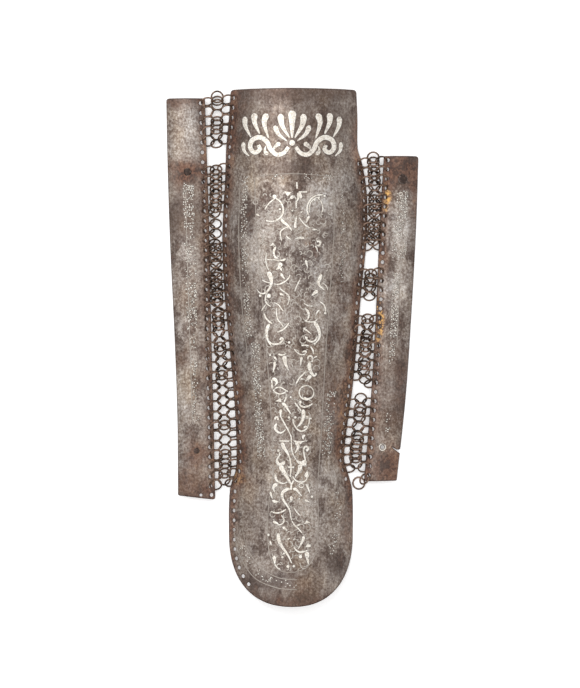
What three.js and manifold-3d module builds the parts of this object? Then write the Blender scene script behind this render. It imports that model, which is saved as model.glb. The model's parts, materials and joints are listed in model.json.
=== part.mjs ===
// A steel greave: a curved shin plate with a rounded tongue over the instep, and two narrow side
// plates that hang from its long edges by strips of mail. It lies on its hollow side.
// +Y runs to the knee end, +X across the shin and +Z up from the ground. Sizes are millimetres.

import * as THREE from 'three';
import { mergeVertices } from 'three/addons/utils/BufferGeometryUtils.js';
import Module from 'manifold-3d';

const wasm = await Module();
wasm.setup();

// Shin plate
const SHIN_LENGTH = 420;
const SHIN_WIDTH = 116; // between the inner faces of its long edges, at the calf
const SHIN_RISE = 27; // height of the hollow at the calf
const SHIN_WALL = 1.4;
const KEEL_RISE = 1.1; // the medial ridge stands this far over the round of the shin
const KEEL_REACH = 13;
const TONGUE_ROUND = 59; // length of the rounded end
const TONGUE_POWER = 2.35; // a superellipse a little squarer than a round end
const SHIN_EDGE_LIFT = 1.5; // the mail holds the edges this far off the ground

// Side plates
const LONG_PLATE_LENGTH = 327;
const LONG_PLATE_WIDTH = 30.6;
const LONG_PLATE_DROP = 7; // from the top of the shin plate to the top of this one
const LONG_PLATE_SLANT = 3.6; // how far the inner corner of its lower end hangs below the outer one
const LONG_MAIL_SPAN = 11.2; // from edge to edge, where the mail is narrowest
const SHORT_PLATE_LENGTH = 265;
const SHORT_PLATE_WIDTH = 27;
const SHORT_PLATE_DROP = 54;
const SHORT_PLATE_SLANT = 0.6;
const SHORT_MAIL_SPAN = 9.6;
const SIDE_RISE = 3.9; // height of the hollow under a side plate
const SIDE_WALL = 1.3;
const SIDE_EDGE_LIFT = 2.3; // height of the edge that carries the mail
const CORNER_ROUND = 1.8;

// Holes for the mail, and the mail itself
const HOLE_DIAMETER = 3.1;
const LONG_HOLE_PITCH = 8;
const SHORT_HOLE_PITCH = 7.55;
const HOLE_INSET = 4; // from the edge of the plate to the middle of a hole
const HOLE_SIDES = 6;
const LONG_FIRST_HOLE = 4; // from the top of the side plate
const SHORT_FIRST_HOLE = 3.4;
const LONG_ROW_SKEW = 4.3; // a row of mail meets the shin plate this much higher than the side plate
const SHORT_ROW_SKEW = -3;
const MAIL_REST_SPAN = 20.6; // hole to hole, when three rings lie flat side by side
const MAIL_THICKNESS = 2.6;
const MAIL_GAP_SHARE = 0.16; // half a gap's width, as a share of the mail's
const MAIL_GAP_STRETCH = 2.3; // a gap takes up twice its share of each row's pitch times this
const SEAT_GAP = 0.3;

// Rivets for the lost straps
const LONG_UPPER_RIVET_DROP = 60;
const LONG_LOWER_RIVET_UP = 40; // from the foot of the plate
const SHORT_UPPER_RIVET_DROP = 19;
const LOST_RIVET_UP = 28;
const BIG_RIVET_HEAD = 7.6;
const SMALL_RIVET_HEAD = 5;
const RIVET_SHANK = 2.8;
const RIVET_HEAD_HEIGHT = 1.5;
const LOST_RIVET_HOLE = 3.4;
const CRACK_UP = 26; // from the foot of the short plate to the crack in its outer edge
const CRACK_LENGTH = 7.5;
const CRACK_MOUTH = 2.6;

// Columns of the shin plate, as shares of half its width. The last one carries the holes.
const SHIN_ACROSS = [0.22, 0.44, 0.66, 0.86, 1];

// along: share of the plate's length, from the knee end. left, right: shares of half the width.
// rise: share of the rise. lift: share of the edge lift.
const SHIN_SECTIONS = [
  { along: 0.0, left: 0.85, right: 0.89, rise: 0.84, lift: 0.0 },
  { along: 0.055, left: 0.875, right: 0.905, rise: 0.88, lift: 0.35 },
  { along: 0.115, left: 0.915, right: 0.91, rise: 0.92, lift: 0.8 },
  { along: 0.14, left: 0.92, right: 0.965, rise: 0.935, lift: 0.9 },
  { along: 0.18, left: 0.93, right: 1.02, rise: 0.96, lift: 1.0 },
  { along: 0.225, left: 0.95, right: 1.045, rise: 0.985, lift: 1.0 },
  { along: 0.295, left: 0.968, right: 1.033, rise: 1.0, lift: 1.0 },
  { along: 0.39, left: 0.94, right: 0.96, rise: 0.97, lift: 1.0 },
  { along: 0.48, left: 0.88, right: 0.905, rise: 0.91, lift: 1.0 },
  { along: 0.58, left: 0.812, right: 0.835, rise: 0.84, lift: 1.0 },
  { along: 0.65, left: 0.778, right: 0.763, rise: 0.79, lift: 1.0 },
  { along: 0.715, left: 0.768, right: 0.718, rise: 0.74, lift: 1.0 },
  { along: 0.74, left: 0.785, right: 0.762, rise: 0.725, lift: 0.9 },
  { along: 0.757, left: 0.827, right: 0.8, rise: 0.712, lift: 0.75 },
  { along: 0.775, left: 0.86, right: 0.83, rise: 0.7, lift: 0.55 },
  { along: 0.81, left: 0.877, right: 0.842, rise: 0.675, lift: 0.2 },
  { along: 0.86, left: 0.877, right: 0.842, rise: 0.655, lift: 0.0 },
  { along: 1.0, left: 0.877, right: 0.842, rise: 0.68, lift: 1.2 },
];

// inner, outer: how far each long edge stands out past the place where the mail is narrowest,
// as shares of the plate's width
const LONG_PLATE_SECTIONS = [
  { along: 0.0, inner: 0.125, outer: 1.145 },
  { along: 0.18, inner: 0.06, outer: 1.105 },
  { along: 0.365, inner: 0.0, outer: 1.04 },
  { along: 0.59, inner: -0.045, outer: 0.925 },
  { along: 0.8, inner: -0.105, outer: 0.845 },
  { along: 1.0, inner: -0.15, outer: 0.83 },
];
const SHORT_PLATE_SECTIONS = [
  { along: 0.0, inner: 0.2, outer: 1.23 },
  { along: 0.22, inner: 0.07, outer: 1.16 },
  { along: 0.48, inner: -0.04, outer: 1.02 },
  { along: 0.74, inner: -0.19, outer: 0.845 },
  { along: 1.0, inner: -0.4, outer: 0.57 },
];

// Columns of a side plate, from its outer edge to the edge that carries the mail
const SIDE_ACROSS = [0, 0.06, 0.2, 0.38, 0.58, 0.77, 0.94, 1];

// across: as above. The edge that carries the mail is bent down as a border.
const SIDE_CAMBER = [
  { across: 0.0, rise: 0.0 },
  { across: 0.14, rise: 0.52 },
  { across: 0.34, rise: 0.92 },
  { across: 0.54, rise: 1.0 },
  { across: 0.75, rise: 0.86 },
  { across: 0.8, rise: 0.74 },
  { across: 1.0, rise: 0.0 },
];

// Rows of mail that are left, counted from the knee end. Between them the rings are lost.
const LONG_MAIL_PATCHES = [
  { name: 'long_mail_top', first: 0, last: 4 },
  { name: 'long_mail_main', first: 7, last: 39 },
];
const SHORT_MAIL_PATCHES = [
  { name: 'short_mail_top', first: 0, last: 9 },
  { name: 'short_mail_upper', first: 12, last: 14 },
  { name: 'short_mail_middle', first: 17, last: 24 },
  { name: 'short_mail_lower', first: 26, last: 33 },
];

// A smooth curve through a table's rows
function through(rows, place, value) {
  const x = rows.map((row) => row[place]);
  const y = rows.map((row) => row[value]);
  const last = x.length - 1;
  const slope = x.map((_, i) => {
    const before = Math.max(i - 1, 0);
    const after = Math.min(i + 1, last);
    return (y[after] - y[before]) / (x[after] - x[before]);
  });
  return (at) => {
    const clamped = Math.min(Math.max(at, x[0]), x[last]);
    let i = 0;
    while (i < last - 1 && clamped > x[i + 1]) i += 1;
    const span = x[i + 1] - x[i];
    const s = (clamped - x[i]) / span;
    const ease = s * s * (3 - 2 * s);
    const leave = s * (1 - s) * (1 - s) * span * slope[i];
    const arrive = s * s * (s - 1) * span * slope[i + 1];
    return y[i] + (y[i + 1] - y[i]) * ease + leave + arrive;
  };
}

const UP = new THREE.Vector3(0, 0, 1);
const steps = (count) => Array.from({ length: count + 1 }, (_, i) => i / count);

// The same places with more between them, so that none is further than a twentieth from the next
function closely(places) {
  return places.flatMap((from, i) => {
    if (i === places.length - 1) return [from];
    const span = places[i + 1] - from;
    return steps(Math.ceil(span / 0.05)).slice(0, -1).map((share) => from + span * share);
  });
}

// The normal of a height field
function normalAt(height, x, y) {
  const reach = 0.5;
  const alongX = (height(x + reach, y) - height(x - reach, y)) / (2 * reach);
  const alongY = (height(x, y + reach) - height(x, y - reach)) / (2 * reach);
  return new THREE.Vector3(-alongX, -alongY, 1).normalize();
}

// The underside of a sheet is its height field, and its wall stands on that along the normals,
// or straight up.
function sheetGeometry({ plan, height, wall, across, along, upright = false }) {
  const under = along.map((v) =>
    across.map((u) => {
      const [x, y] = plan(u, v);
      return new THREE.Vector3(x, y, height(x, y));
    }),
  );
  const outward = (p) => (upright ? UP : normalAt(height, p.x, p.y));
  const upper = under.map((row) => row.map((p) => p.clone().addScaledVector(outward(p), wall)));
  const corners = [];
  const triangle = (a, b, c) => {
    if (a.distanceTo(b) < 1e-4 || b.distanceTo(c) < 1e-4 || c.distanceTo(a) < 1e-4) return;
    corners.push(...a.toArray(), ...b.toArray(), ...c.toArray());
  };
  const quad = (a, b, c, d) => {
    triangle(a, b, c);
    triangle(a, c, d);
  };
  const lastRow = along.length - 1;
  const lastColumn = across.length - 1;
  for (let r = 0; r < lastRow; r += 1) {
    for (let c = 0; c < lastColumn; c += 1) {
      quad(upper[r][c], upper[r + 1][c], upper[r + 1][c + 1], upper[r][c + 1]);
      quad(under[r][c], under[r][c + 1], under[r + 1][c + 1], under[r + 1][c]);
    }
    quad(upper[r][0], under[r][0], under[r + 1][0], upper[r + 1][0]);
    quad(
      upper[r][lastColumn],
      upper[r + 1][lastColumn],
      under[r + 1][lastColumn],
      under[r][lastColumn],
    );
  }
  for (let c = 0; c < lastColumn; c += 1) {
    quad(upper[0][c], upper[0][c + 1], under[0][c + 1], under[0][c]);
    quad(upper[lastRow][c], under[lastRow][c], under[lastRow][c + 1], upper[lastRow][c + 1]);
  }
  const geometry = new THREE.BufferGeometry();
  geometry.setAttribute('position', new THREE.Float32BufferAttribute(corners, 3));
  return geometry;
}

function solidOf(geometry) {
  const bare = new THREE.BufferGeometry();
  const source = geometry.index ? geometry.toNonIndexed() : geometry;
  bare.setAttribute('position', source.getAttribute('position'));
  const merged = mergeVertices(bare, 1e-4);
  return new wasm.Manifold(
    new wasm.Mesh({
      numProp: 3,
      vertProperties: merged.getAttribute('position').array,
      triVerts: new Uint32Array(merged.index.array),
    }),
  );
}

function geometryOf(solid) {
  const mesh = solid.getMesh();
  const geometry = new THREE.BufferGeometry();
  geometry.setAttribute('position', new THREE.BufferAttribute(mesh.vertProperties, 3));
  geometry.setIndex(new THREE.BufferAttribute(mesh.triVerts, 1));
  const flat = geometry.toNonIndexed();
  flat.computeVertexNormals();
  return flat;
}

// Turns a geometry that stands along +Z to a plate's normal, and sets it on the plate's mid wall.
function setOnPlate(geometry, plate, x, y) {
  const normal = normalAt(plate.height, x, y);
  const turn = new THREE.Quaternion().setFromUnitVectors(UP, normal);
  const place = new THREE.Vector3(x, y, plate.height(x, y)).addScaledVector(normal, plate.wall / 2);
  return geometry.applyQuaternion(turn).translate(place.x, place.y, place.z);
}

// A long tapered punch, standing along +Z, that is its nominal size where it meets z = 0
function punch(radius, length, sides) {
  const below = length / 4;
  const widest = radius / (1 - below / length);
  const geometry = new THREE.ConeGeometry(widest, length, sides);
  return geometry.rotateX(Math.PI / 2).translate(0, 0, length / 2 - below);
}

function punchAt(plate, hole) {
  return solidOf(setOnPlate(punch(hole.radius, 40, HOLE_SIDES), plate, hole.x, hole.y));
}

// Shin plate: its outline, its height field and its holes
const shinTop = SHIN_LENGTH / 2;
const shinColumn = (name) => through(SHIN_SECTIONS, 'along', name);
const shinLeft = shinColumn('left');
const shinRight = shinColumn('right');
const shinRise = shinColumn('rise');
const shinLift = shinColumn('lift');
const shinAlong = (y) => (shinTop - y) / SHIN_LENGTH;
const roundFrom = 1 - TONGUE_ROUND / SHIN_LENGTH;

const shinHalf = (side, along) => ((side < 0 ? shinLeft : shinRight)(along) * SHIN_WIDTH) / 2;

function tongueRound(along) {
  const into = Math.max(0, (along - roundFrom) / (1 - roundFrom));
  return Math.max(0, 1 - into ** TONGUE_POWER) ** (1 / TONGUE_POWER);
}

const shin = {
  wall: SHIN_WALL,
  edge: (side, y) => side * shinHalf(side, shinAlong(y)) * tongueRound(shinAlong(y)),
  plan: (u, v) => [u * shinHalf(u, v) * tongueRound(v), shinTop - v * SHIN_LENGTH],
  height: (x, y) => {
    const along = shinAlong(y);
    const half = shinHalf(x, along);
    const rise = shinRise(along) * SHIN_RISE;
    const radius = (half * half + rise * rise) / (2 * rise);
    const out = Math.min(Math.abs(x), half * 1.02);
    const arch = Math.sqrt(radius * radius - out * out) - (radius - rise);
    const keel = KEEL_RISE * Math.max(0, 1 - Math.abs(x) / KEEL_REACH) ** 1.5;
    return shinLift(along) * SHIN_EDGE_LIFT + arch + keel;
  },
  across: [...SHIN_ACROSS.map((share) => -share).reverse(), 0, ...SHIN_ACROSS],
  along: [
    ...closely([...SHIN_SECTIONS.map((row) => row.along).filter((at) => at < roundFrom), roundFrom]),
    ...steps(6)
      .slice(1)
      .map((share) => {
        const turn = (share * Math.PI) / 2;
        return roundFrom + (1 - roundFrom) * Math.sin(turn) ** (2 / TONGUE_POWER);
      }),
  ],
};

// A side plate. side is -1 for the long one, on the left, and 1 for the short one.
function sidePlate({ side, length, width, drop, slant, span, sections }) {
  const column = (name) => through(sections, 'along', name);
  const inner = column('inner');
  const outer = column('outer');
  const camber = through(SIDE_CAMBER, 'across', 'rise');
  const top = shinTop - drop;
  const narrowest = (side < 0 ? 0.968 : 1.033) * (SHIN_WIDTH / 2) + span;
  const edgeAt = (edge, along) => side * (narrowest + edge(along) * width);
  const alongOf = (y) => (top - y) / length;
  const corner = (across) => {
    const into = Math.max(0, 1 - (Math.min(across, 1 - across) * width) / CORNER_ROUND);
    return CORNER_ROUND * (1 - Math.sqrt(1 - into * into));
  };
  return {
    side,
    top,
    length,
    wall: SIDE_WALL,
    edge: (y) => edgeAt(inner, alongOf(y)),
    plan: (across, v) => {
      const atTop = top - corner(across);
      const atFoot = top - length + corner(across) + slant * (1 - across);
      const y = atTop + (atFoot - atTop) * v;
      const from = edgeAt(outer, alongOf(y));
      const to = edgeAt(inner, alongOf(y));
      return [from + (to - from) * across, y];
    },
    height: (x, y) => {
      const from = edgeAt(outer, alongOf(y));
      const to = edgeAt(inner, alongOf(y));
      const across = Math.min(Math.max((x - from) / (to - from), 0), 1);
      return camber(across) * SIDE_RISE + across * SIDE_EDGE_LIFT;
    },
    across: side < 0 ? SIDE_ACROSS : [...SIDE_ACROSS].reverse(),
    along: steps(Math.round(length / 23)),
  };
}

const longPlate = sidePlate({
  side: -1,
  length: LONG_PLATE_LENGTH,
  width: LONG_PLATE_WIDTH,
  drop: LONG_PLATE_DROP,
  slant: LONG_PLATE_SLANT,
  span: LONG_MAIL_SPAN,
  sections: LONG_PLATE_SECTIONS,
});
const shortPlate = sidePlate({
  side: 1,
  length: SHORT_PLATE_LENGTH,
  width: SHORT_PLATE_WIDTH,
  drop: SHORT_PLATE_DROP,
  slant: SHORT_PLATE_SLANT,
  span: SHORT_MAIL_SPAN,
  sections: SHORT_PLATE_SECTIONS,
});

// Steps in from an edge along the surface of a plate
function inFromEdge(plate, edge, y, toward) {
  const normal = normalAt(plate.height, edge + (toward * HOLE_INSET) / 2, y);
  return { x: edge + toward * HOLE_INSET * normal.z, y, radius: HOLE_DIAMETER / 2 };
}

// The rows of mail on one side: where each row's holes are in the side plate and in the shin plate
function mailRows(plate, firstHole, pitch, skew) {
  const count = Math.floor((plate.length - firstHole - HOLE_INSET) / pitch) + 1;
  return Array.from({ length: count }, (_, row) => {
    const y = plate.top - firstHole - row * pitch;
    return {
      y,
      outer: inFromEdge(plate, plate.edge(y), y, plate.side),
      inner: inFromEdge(shin, shin.edge(plate.side, y + skew), y + skew, -plate.side),
    };
  });
}
const longRows = mailRows(longPlate, LONG_FIRST_HOLE, LONG_HOLE_PITCH, LONG_ROW_SKEW);
const shortRows = mailRows(shortPlate, SHORT_FIRST_HOLE, SHORT_HOLE_PITCH, SHORT_ROW_SKEW);

// Empty holes that go on round the left of the tongue, where mail for the foot once hung
function tongueHoles() {
  const holes = [];
  let y = longRows.at(-1).inner.y - LONG_HOLE_PITCH;
  while (tongueRound(shinAlong(y)) > 0.72) {
    const edge = shin.edge(-1, y);
    const bend = (shin.edge(-1, y + 1) - shin.edge(-1, y - 1)) / 2;
    const away = new THREE.Vector2(1, bend).normalize().multiplyScalar(HOLE_INSET);
    holes.push({ x: edge + away.x, y: y - away.y, radius: HOLE_DIAMETER / 2 });
    y -= LONG_HOLE_PITCH / Math.hypot(1, bend);
  }
  return holes;
}

const place = (plate, share, drop) => {
  const y = plate.top - drop;
  const [outerX] = plate.plan(0, (plate.top - y) / plate.length);
  return { x: outerX + (plate.edge(y) - outerX) * share, y };
};
const rivets = [
  {
    name: 'long_plate_upper_rivet',
    plate: longPlate,
    head: BIG_RIVET_HEAD,
    ...place(longPlate, 0.5, LONG_UPPER_RIVET_DROP),
  },
  {
    name: 'long_plate_lower_rivet',
    plate: longPlate,
    head: SMALL_RIVET_HEAD,
    ...place(longPlate, 0.52, LONG_PLATE_LENGTH - LONG_LOWER_RIVET_UP),
  },
  {
    name: 'short_plate_upper_rivet',
    plate: shortPlate,
    head: BIG_RIVET_HEAD,
    ...place(shortPlate, 0.43, SHORT_UPPER_RIVET_DROP),
  },
];

// A rivet with a low domed head over the plate and a peened tail under it
function rivetGeometry({ plate, head, x, y }) {
  const half = plate.wall / 2 + SEAT_GAP;
  const profile = [
    new THREE.Vector2(0, -half - 0.9),
    new THREE.Vector2(RIVET_SHANK * 0.6, -half - 0.9),
    new THREE.Vector2(RIVET_SHANK * 0.85, -half),
    new THREE.Vector2(RIVET_SHANK / 2, -half),
    new THREE.Vector2(RIVET_SHANK / 2, half),
    new THREE.Vector2(head / 2, half),
    new THREE.Vector2(head * 0.42, half + RIVET_HEAD_HEIGHT * 0.7),
    new THREE.Vector2(head * 0.22, half + RIVET_HEAD_HEIGHT),
    new THREE.Vector2(0, half + RIVET_HEAD_HEIGHT),
  ];
  const lathe = new THREE.LatheGeometry(profile, 10);
  lathe.rotateX(Math.PI / 2);
  return setOnPlate(lathe, plate, x, y);
}

// A crack: a thin wedge cut in from the outer edge of the short plate
function crackCutter() {
  const drop = SHORT_PLATE_LENGTH - CRACK_UP;
  const y = shortPlate.top - drop;
  const [edgeX] = shortPlate.plan(0, drop / SHORT_PLATE_LENGTH);
  const outline = new THREE.Shape([
    new THREE.Vector2(edgeX + 4, y - CRACK_MOUTH * 1.3),
    new THREE.Vector2(edgeX + 4, y + CRACK_MOUTH * 0.2),
    new THREE.Vector2(edgeX - CRACK_LENGTH * 0.45, y + CRACK_MOUTH * 0.25),
    new THREE.Vector2(edgeX - CRACK_LENGTH, y + CRACK_MOUTH),
    new THREE.Vector2(edgeX - CRACK_LENGTH * 0.35, y - CRACK_MOUTH * 0.35),
  ]);
  return solidOf(new THREE.ExtrudeGeometry(outline, { depth: 20, bevelEnabled: false }));
}

function platePiece(plate, holes, cutters = []) {
  const bits = [...holes.map((hole) => punchAt(plate, hole)), ...cutters];
  const blank = solidOf(sheetGeometry(plate));
  return geometryOf(blank.subtract(wasm.Manifold.union(bits)));
}

// One patch of mail: a band of rings three across, pierced between them. It arches up where the
// edges stand closer than three rings.
function mailPiece(plate, rows, { first, last }) {
  const shown = rows.slice(first, last + 1);
  const pitch = rows[0].y - rows[1].y;
  const top = shown[0].y + pitch / 2;
  const foot = shown.at(-1).y - pitch / 2;
  const skew = shown[0].inner.y - shown[0].y;
  const shinReach = (y) =>
    Math.max(...[-0.7, 0, 0.7].map((share) => Math.abs(shin.edge(plate.side, y + share * pitch))));
  const ends = (y) => {
    const outerX = plate.edge(y) - plate.side * SEAT_GAP;
    const shinEdge = plate.side * shinReach(y + skew);
    const innerX = shinEdge + plate.side * (SHIN_WALL + SEAT_GAP);
    const wall = MAIL_THICKNESS / 2;
    const outerZ = plate.height(outerX, y) + SIDE_WALL / 2 - wall;
    const innerZ = shin.height(shin.edge(plate.side, y + skew), y + skew) + SHIN_WALL / 2 - wall;
    return { outerX, innerX, outerZ: Math.max(outerZ, 0), innerZ: Math.max(innerZ, 0) };
  };
  const arch = (y) => {
    const { outerX, innerX } = ends(y);
    const span = Math.abs(outerX - innerX) + 1.6 * HOLE_INSET;
    return Math.sqrt(Math.max(0, 0.375 * (MAIL_REST_SPAN ** 2 - span ** 2)));
  };
  const band = {
    wall: MAIL_THICKNESS,
    upright: true,
    plan: (share, v) => {
      const y = top + (foot - top) * v;
      const { outerX, innerX } = ends(y);
      return [outerX + (innerX - outerX) * share, y + skew * share];
    },
    height: (x, y) => {
      const { outerX, innerX, outerZ, innerZ } = ends(y);
      const share = Math.min(Math.max((x - outerX) / (innerX - outerX), 0), 1);
      return outerZ + (innerZ - outerZ) * share + arch(y) * 4 * share * (1 - share);
    },
    across: plate.side < 0 ? steps(2) : steps(2).reverse(),
    along: steps(shown.length),
  };
  const gaps = [];
  shown.forEach((row, i) => {
    const shares = i % 2 ? [0.26, 0.74] : [0.5];
    for (const share of shares) {
      const [x, y] = band.plan(share, (top - row.y) / (top - foot));
      const { outerX, innerX } = ends(row.y);
      const gap = punch(MAIL_GAP_SHARE, 100, 4);
      gap.scale(Math.abs(outerX - innerX), pitch * MAIL_GAP_STRETCH, 1);
      gaps.push(solidOf(gap.translate(x, y, band.height(x, y))));
    }
  });
  return geometryOf(solidOf(sheetGeometry(band)).subtract(wasm.Manifold.union(gaps)));
}

const steel = new THREE.MeshStandardMaterial({ color: 0x6f655d, roughness: 0.5, metalness: 0.85 });
const darkSteel = new THREE.MeshStandardMaterial({ color: 0x5a4f48, roughness: 0.55, metalness: 0.8 });
const wire = new THREE.MeshStandardMaterial({ color: 0x3b3029, roughness: 0.55, metalness: 0.8 });

const greave = new THREE.Group();
function add(name, geometry, material) {
  const mesh = new THREE.Mesh(geometry, material);
  mesh.name = name;
  greave.add(mesh);
}

const shankHole = (rivet) => ({ x: rivet.x, y: rivet.y, radius: RIVET_SHANK / 2 + SEAT_GAP });
const rivetHoles = (plate) => rivets.filter((rivet) => rivet.plate === plate).map(shankHole);

const shinHoles = [...longRows, ...shortRows].map((row) => row.inner);
add('shin_plate', platePiece(shin, [...shinHoles, ...tongueHoles()]), steel);

const footHoles = [0.62, 0.9].map((share) => ({
  ...place(longPlate, share, LONG_PLATE_LENGTH - HOLE_INSET),
  radius: HOLE_DIAMETER / 2,
}));
const longHoles = [...longRows.map((row) => row.outer), ...footHoles, ...rivetHoles(longPlate)];
add('long_side_plate', platePiece(longPlate, longHoles), steel);

const lostRivet = {
  ...place(shortPlate, 0.54, SHORT_PLATE_LENGTH - LOST_RIVET_UP),
  radius: LOST_RIVET_HOLE / 2,
};
const shortHoles = [...shortRows.map((row) => row.outer), lostRivet, ...rivetHoles(shortPlate)];
add('short_side_plate', platePiece(shortPlate, shortHoles, [crackCutter()]), steel);

for (const rivet of rivets) add(rivet.name, rivetGeometry(rivet), darkSteel);
for (const patch of LONG_MAIL_PATCHES) add(patch.name, mailPiece(longPlate, longRows, patch), wire);
for (const patch of SHORT_MAIL_PATCHES) add(patch.name, mailPiece(shortPlate, shortRows, patch), wire);

// The origin is on the ground, under the middle of the whole.
const extent = new THREE.Box3().setFromObject(greave);
const middle = extent.getCenter(new THREE.Vector3());
greave.position.set(-middle.x, -middle.y, -extent.min.z);

export default greave;
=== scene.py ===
"""A worn steel greave with silver scrollwork, laid on its hollow side on a pale floor.

It stands in metres in the frame of its CAD model: +Y to the knee end, +X across the shin, +Z up.
The tables hold millimetres.
"""

import json
import math
import random
from itertools import product

import bpy
import numpy as np
from bpy.props import FloatProperty, FloatVectorProperty, PointerProperty
from mathutils import Matrix, Vector, noise
from mathutils.geometry import delaunay_2d_cdt

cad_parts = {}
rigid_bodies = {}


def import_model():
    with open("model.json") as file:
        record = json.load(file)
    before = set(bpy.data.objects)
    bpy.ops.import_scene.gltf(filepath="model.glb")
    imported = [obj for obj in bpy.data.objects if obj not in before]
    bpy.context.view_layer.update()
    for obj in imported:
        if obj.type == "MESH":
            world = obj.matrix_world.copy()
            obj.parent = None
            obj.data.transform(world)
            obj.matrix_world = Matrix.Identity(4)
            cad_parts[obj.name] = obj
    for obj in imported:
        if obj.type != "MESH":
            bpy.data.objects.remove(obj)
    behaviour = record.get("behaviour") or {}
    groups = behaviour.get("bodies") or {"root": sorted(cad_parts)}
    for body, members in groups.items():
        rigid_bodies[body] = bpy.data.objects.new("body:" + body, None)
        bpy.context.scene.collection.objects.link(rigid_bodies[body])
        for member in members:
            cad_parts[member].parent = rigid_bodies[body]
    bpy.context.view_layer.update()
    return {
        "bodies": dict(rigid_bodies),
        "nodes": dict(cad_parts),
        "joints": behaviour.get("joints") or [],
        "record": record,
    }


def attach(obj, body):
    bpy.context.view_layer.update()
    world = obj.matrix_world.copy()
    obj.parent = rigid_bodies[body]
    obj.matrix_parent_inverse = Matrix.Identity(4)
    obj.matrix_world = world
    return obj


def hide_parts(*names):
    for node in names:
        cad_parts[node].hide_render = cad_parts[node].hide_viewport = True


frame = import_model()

bl_info = {
    "name": "Worn Steel Greave",
    "version": (1, 0, 0),
    "blender": (4, 5, 0),
    "location": "3D Viewport > Sidebar > Greave",
    "description": "Dresses a greave's frame with plates, mail rings, rivets and silver scrollwork",
    "category": "Object",
}

MM = 0.001

# The frame's own sizes, in millimetres, repeated here because this script reads only the frame.
SHIN_LENGTH, SHIN_WIDTH, SHIN_RISE, SHIN_WALL = 420.0, 116.0, 27.0, 1.4
KEEL_RISE, KEEL_REACH = 1.1, 13.0
TONGUE_ROUND, TONGUE_POWER = 59.0, 2.35
SHIN_EDGE_LIFT = 1.5
SIDE_RISE, SIDE_WALL, SIDE_EDGE_LIFT, CORNER_ROUND = 3.9, 1.3, 2.3, 1.8
HOLE_DIAMETER, HOLE_INSET = 3.1, 4.0
HOLE_RADIUS = HOLE_DIAMETER / 2
LONG_PITCH, SHORT_PITCH = 8.0, 7.55
LINK_STEP = 5.9

# How finely the plates are drawn: the step along an outline, the reach of a rounded edge, and how far the
# skin's own points keep from an edge and from a hole's middle
OUTLINE_STEP, EDGE_ROUND, EDGE_CLEAR, HOLE_CLEAR = 1.4, 0.8, 1.3, 3.0

# The mail: the points round a ring and round its wire, how far a linking ring at a patch's end stands out,
# the clearance that is enough, the one that a second linking ring needs, and the gap over the ground
RING_SIDES, WIRE_SIDES = 22, 8
END_RING_REACH = 4.0
ENOUGH_CLEARANCE, SECOND_CLEARANCE = 0.9, 1.0
GROUND_GAP = 0.02

# The inlay: how deep its groove starts and how high its lip stands
GROOVE_FOOT, GROOVE_LIP = -0.03, 0.05

# The floor's half width, and where the lamp hangs and how wide it is, in metres
FLOOR_REACH, LAMP_PLACE, LAMP_WIDTH = 4.0, (-0.75, 0.95, 1.5), 1.1

# The soft light's brightness at the horizon and near the top of the sky
SKY_LEVELS = ((0.0, 0.42), (0.9, 1.12))

# From the tables' own middle to the middle of the frame
FRAME_SHIFT = Vector((-0.181, -0.0243, 0.0037))

# along: share of the plate's length, from the knee end. left, right: shares of half the width.
# rise: share of the rise. lift: share of the edge lift.
SHIN_SECTIONS = (
    ("along", "left", "right", "rise", "lift"),
    (0, 0.85, 0.89, 0.84, 0),
    (0.055, 0.875, 0.905, 0.88, 0.35),
    (0.115, 0.915, 0.91, 0.92, 0.8),
    (0.14, 0.92, 0.965, 0.935, 0.9),
    (0.18, 0.93, 1.02, 0.96, 1),
    (0.225, 0.95, 1.045, 0.985, 1),
    (0.295, 0.968, 1.033, 1, 1),
    (0.39, 0.94, 0.96, 0.97, 1),
    (0.48, 0.88, 0.905, 0.91, 1),
    (0.58, 0.812, 0.835, 0.84, 1),
    (0.65, 0.778, 0.763, 0.79, 1),
    (0.715, 0.768, 0.718, 0.74, 1),
    (0.74, 0.785, 0.762, 0.725, 0.9),
    (0.757, 0.827, 0.8, 0.712, 0.75),
    (0.775, 0.86, 0.83, 0.7, 0.55),
    (0.81, 0.877, 0.842, 0.675, 0.2),
    (0.86, 0.877, 0.842, 0.655, 0),
    (1, 0.877, 0.842, 0.68, 1.2),
)
LONG_SECTIONS = (
    ("along", "inner", "outer"),
    (0, 0.125, 1.145),
    (0.18, 0.06, 1.105),
    (0.365, 0, 1.04),
    (0.59, -0.045, 0.925),
    (0.8, -0.105, 0.845),
    (1, -0.15, 0.83),
)
SHORT_SECTIONS = (
    ("along", "inner", "outer"),
    (0, 0.2, 1.23),
    (0.22, 0.07, 1.16),
    (0.48, -0.04, 1.02),
    (0.74, -0.19, 0.845),
    (1, -0.4, 0.57),
)
SIDE_CAMBER = (
    ("across", "rise"),
    (0, 0),
    (0.14, 0.52),
    (0.34, 0.92),
    (0.54, 1),
    (0.75, 0.86),
    (0.8, 0.74),
    (1, 0),
)

# Rows of mail that are left on each side, counted from the knee end
LONG_PATCHES = (("long_mail_top", 0, 4, ("top", "foot")), ("long_mail_main", 7, 39, ()))
SHORT_PATCHES = (
    ("short_mail_top", 0, 9, ("top",)),
    ("short_mail_upper", 12, 14, ("foot",)),
    ("short_mail_middle", 17, 24, ()),
    ("short_mail_lower", 26, 33, ("top",)),
)
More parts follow.
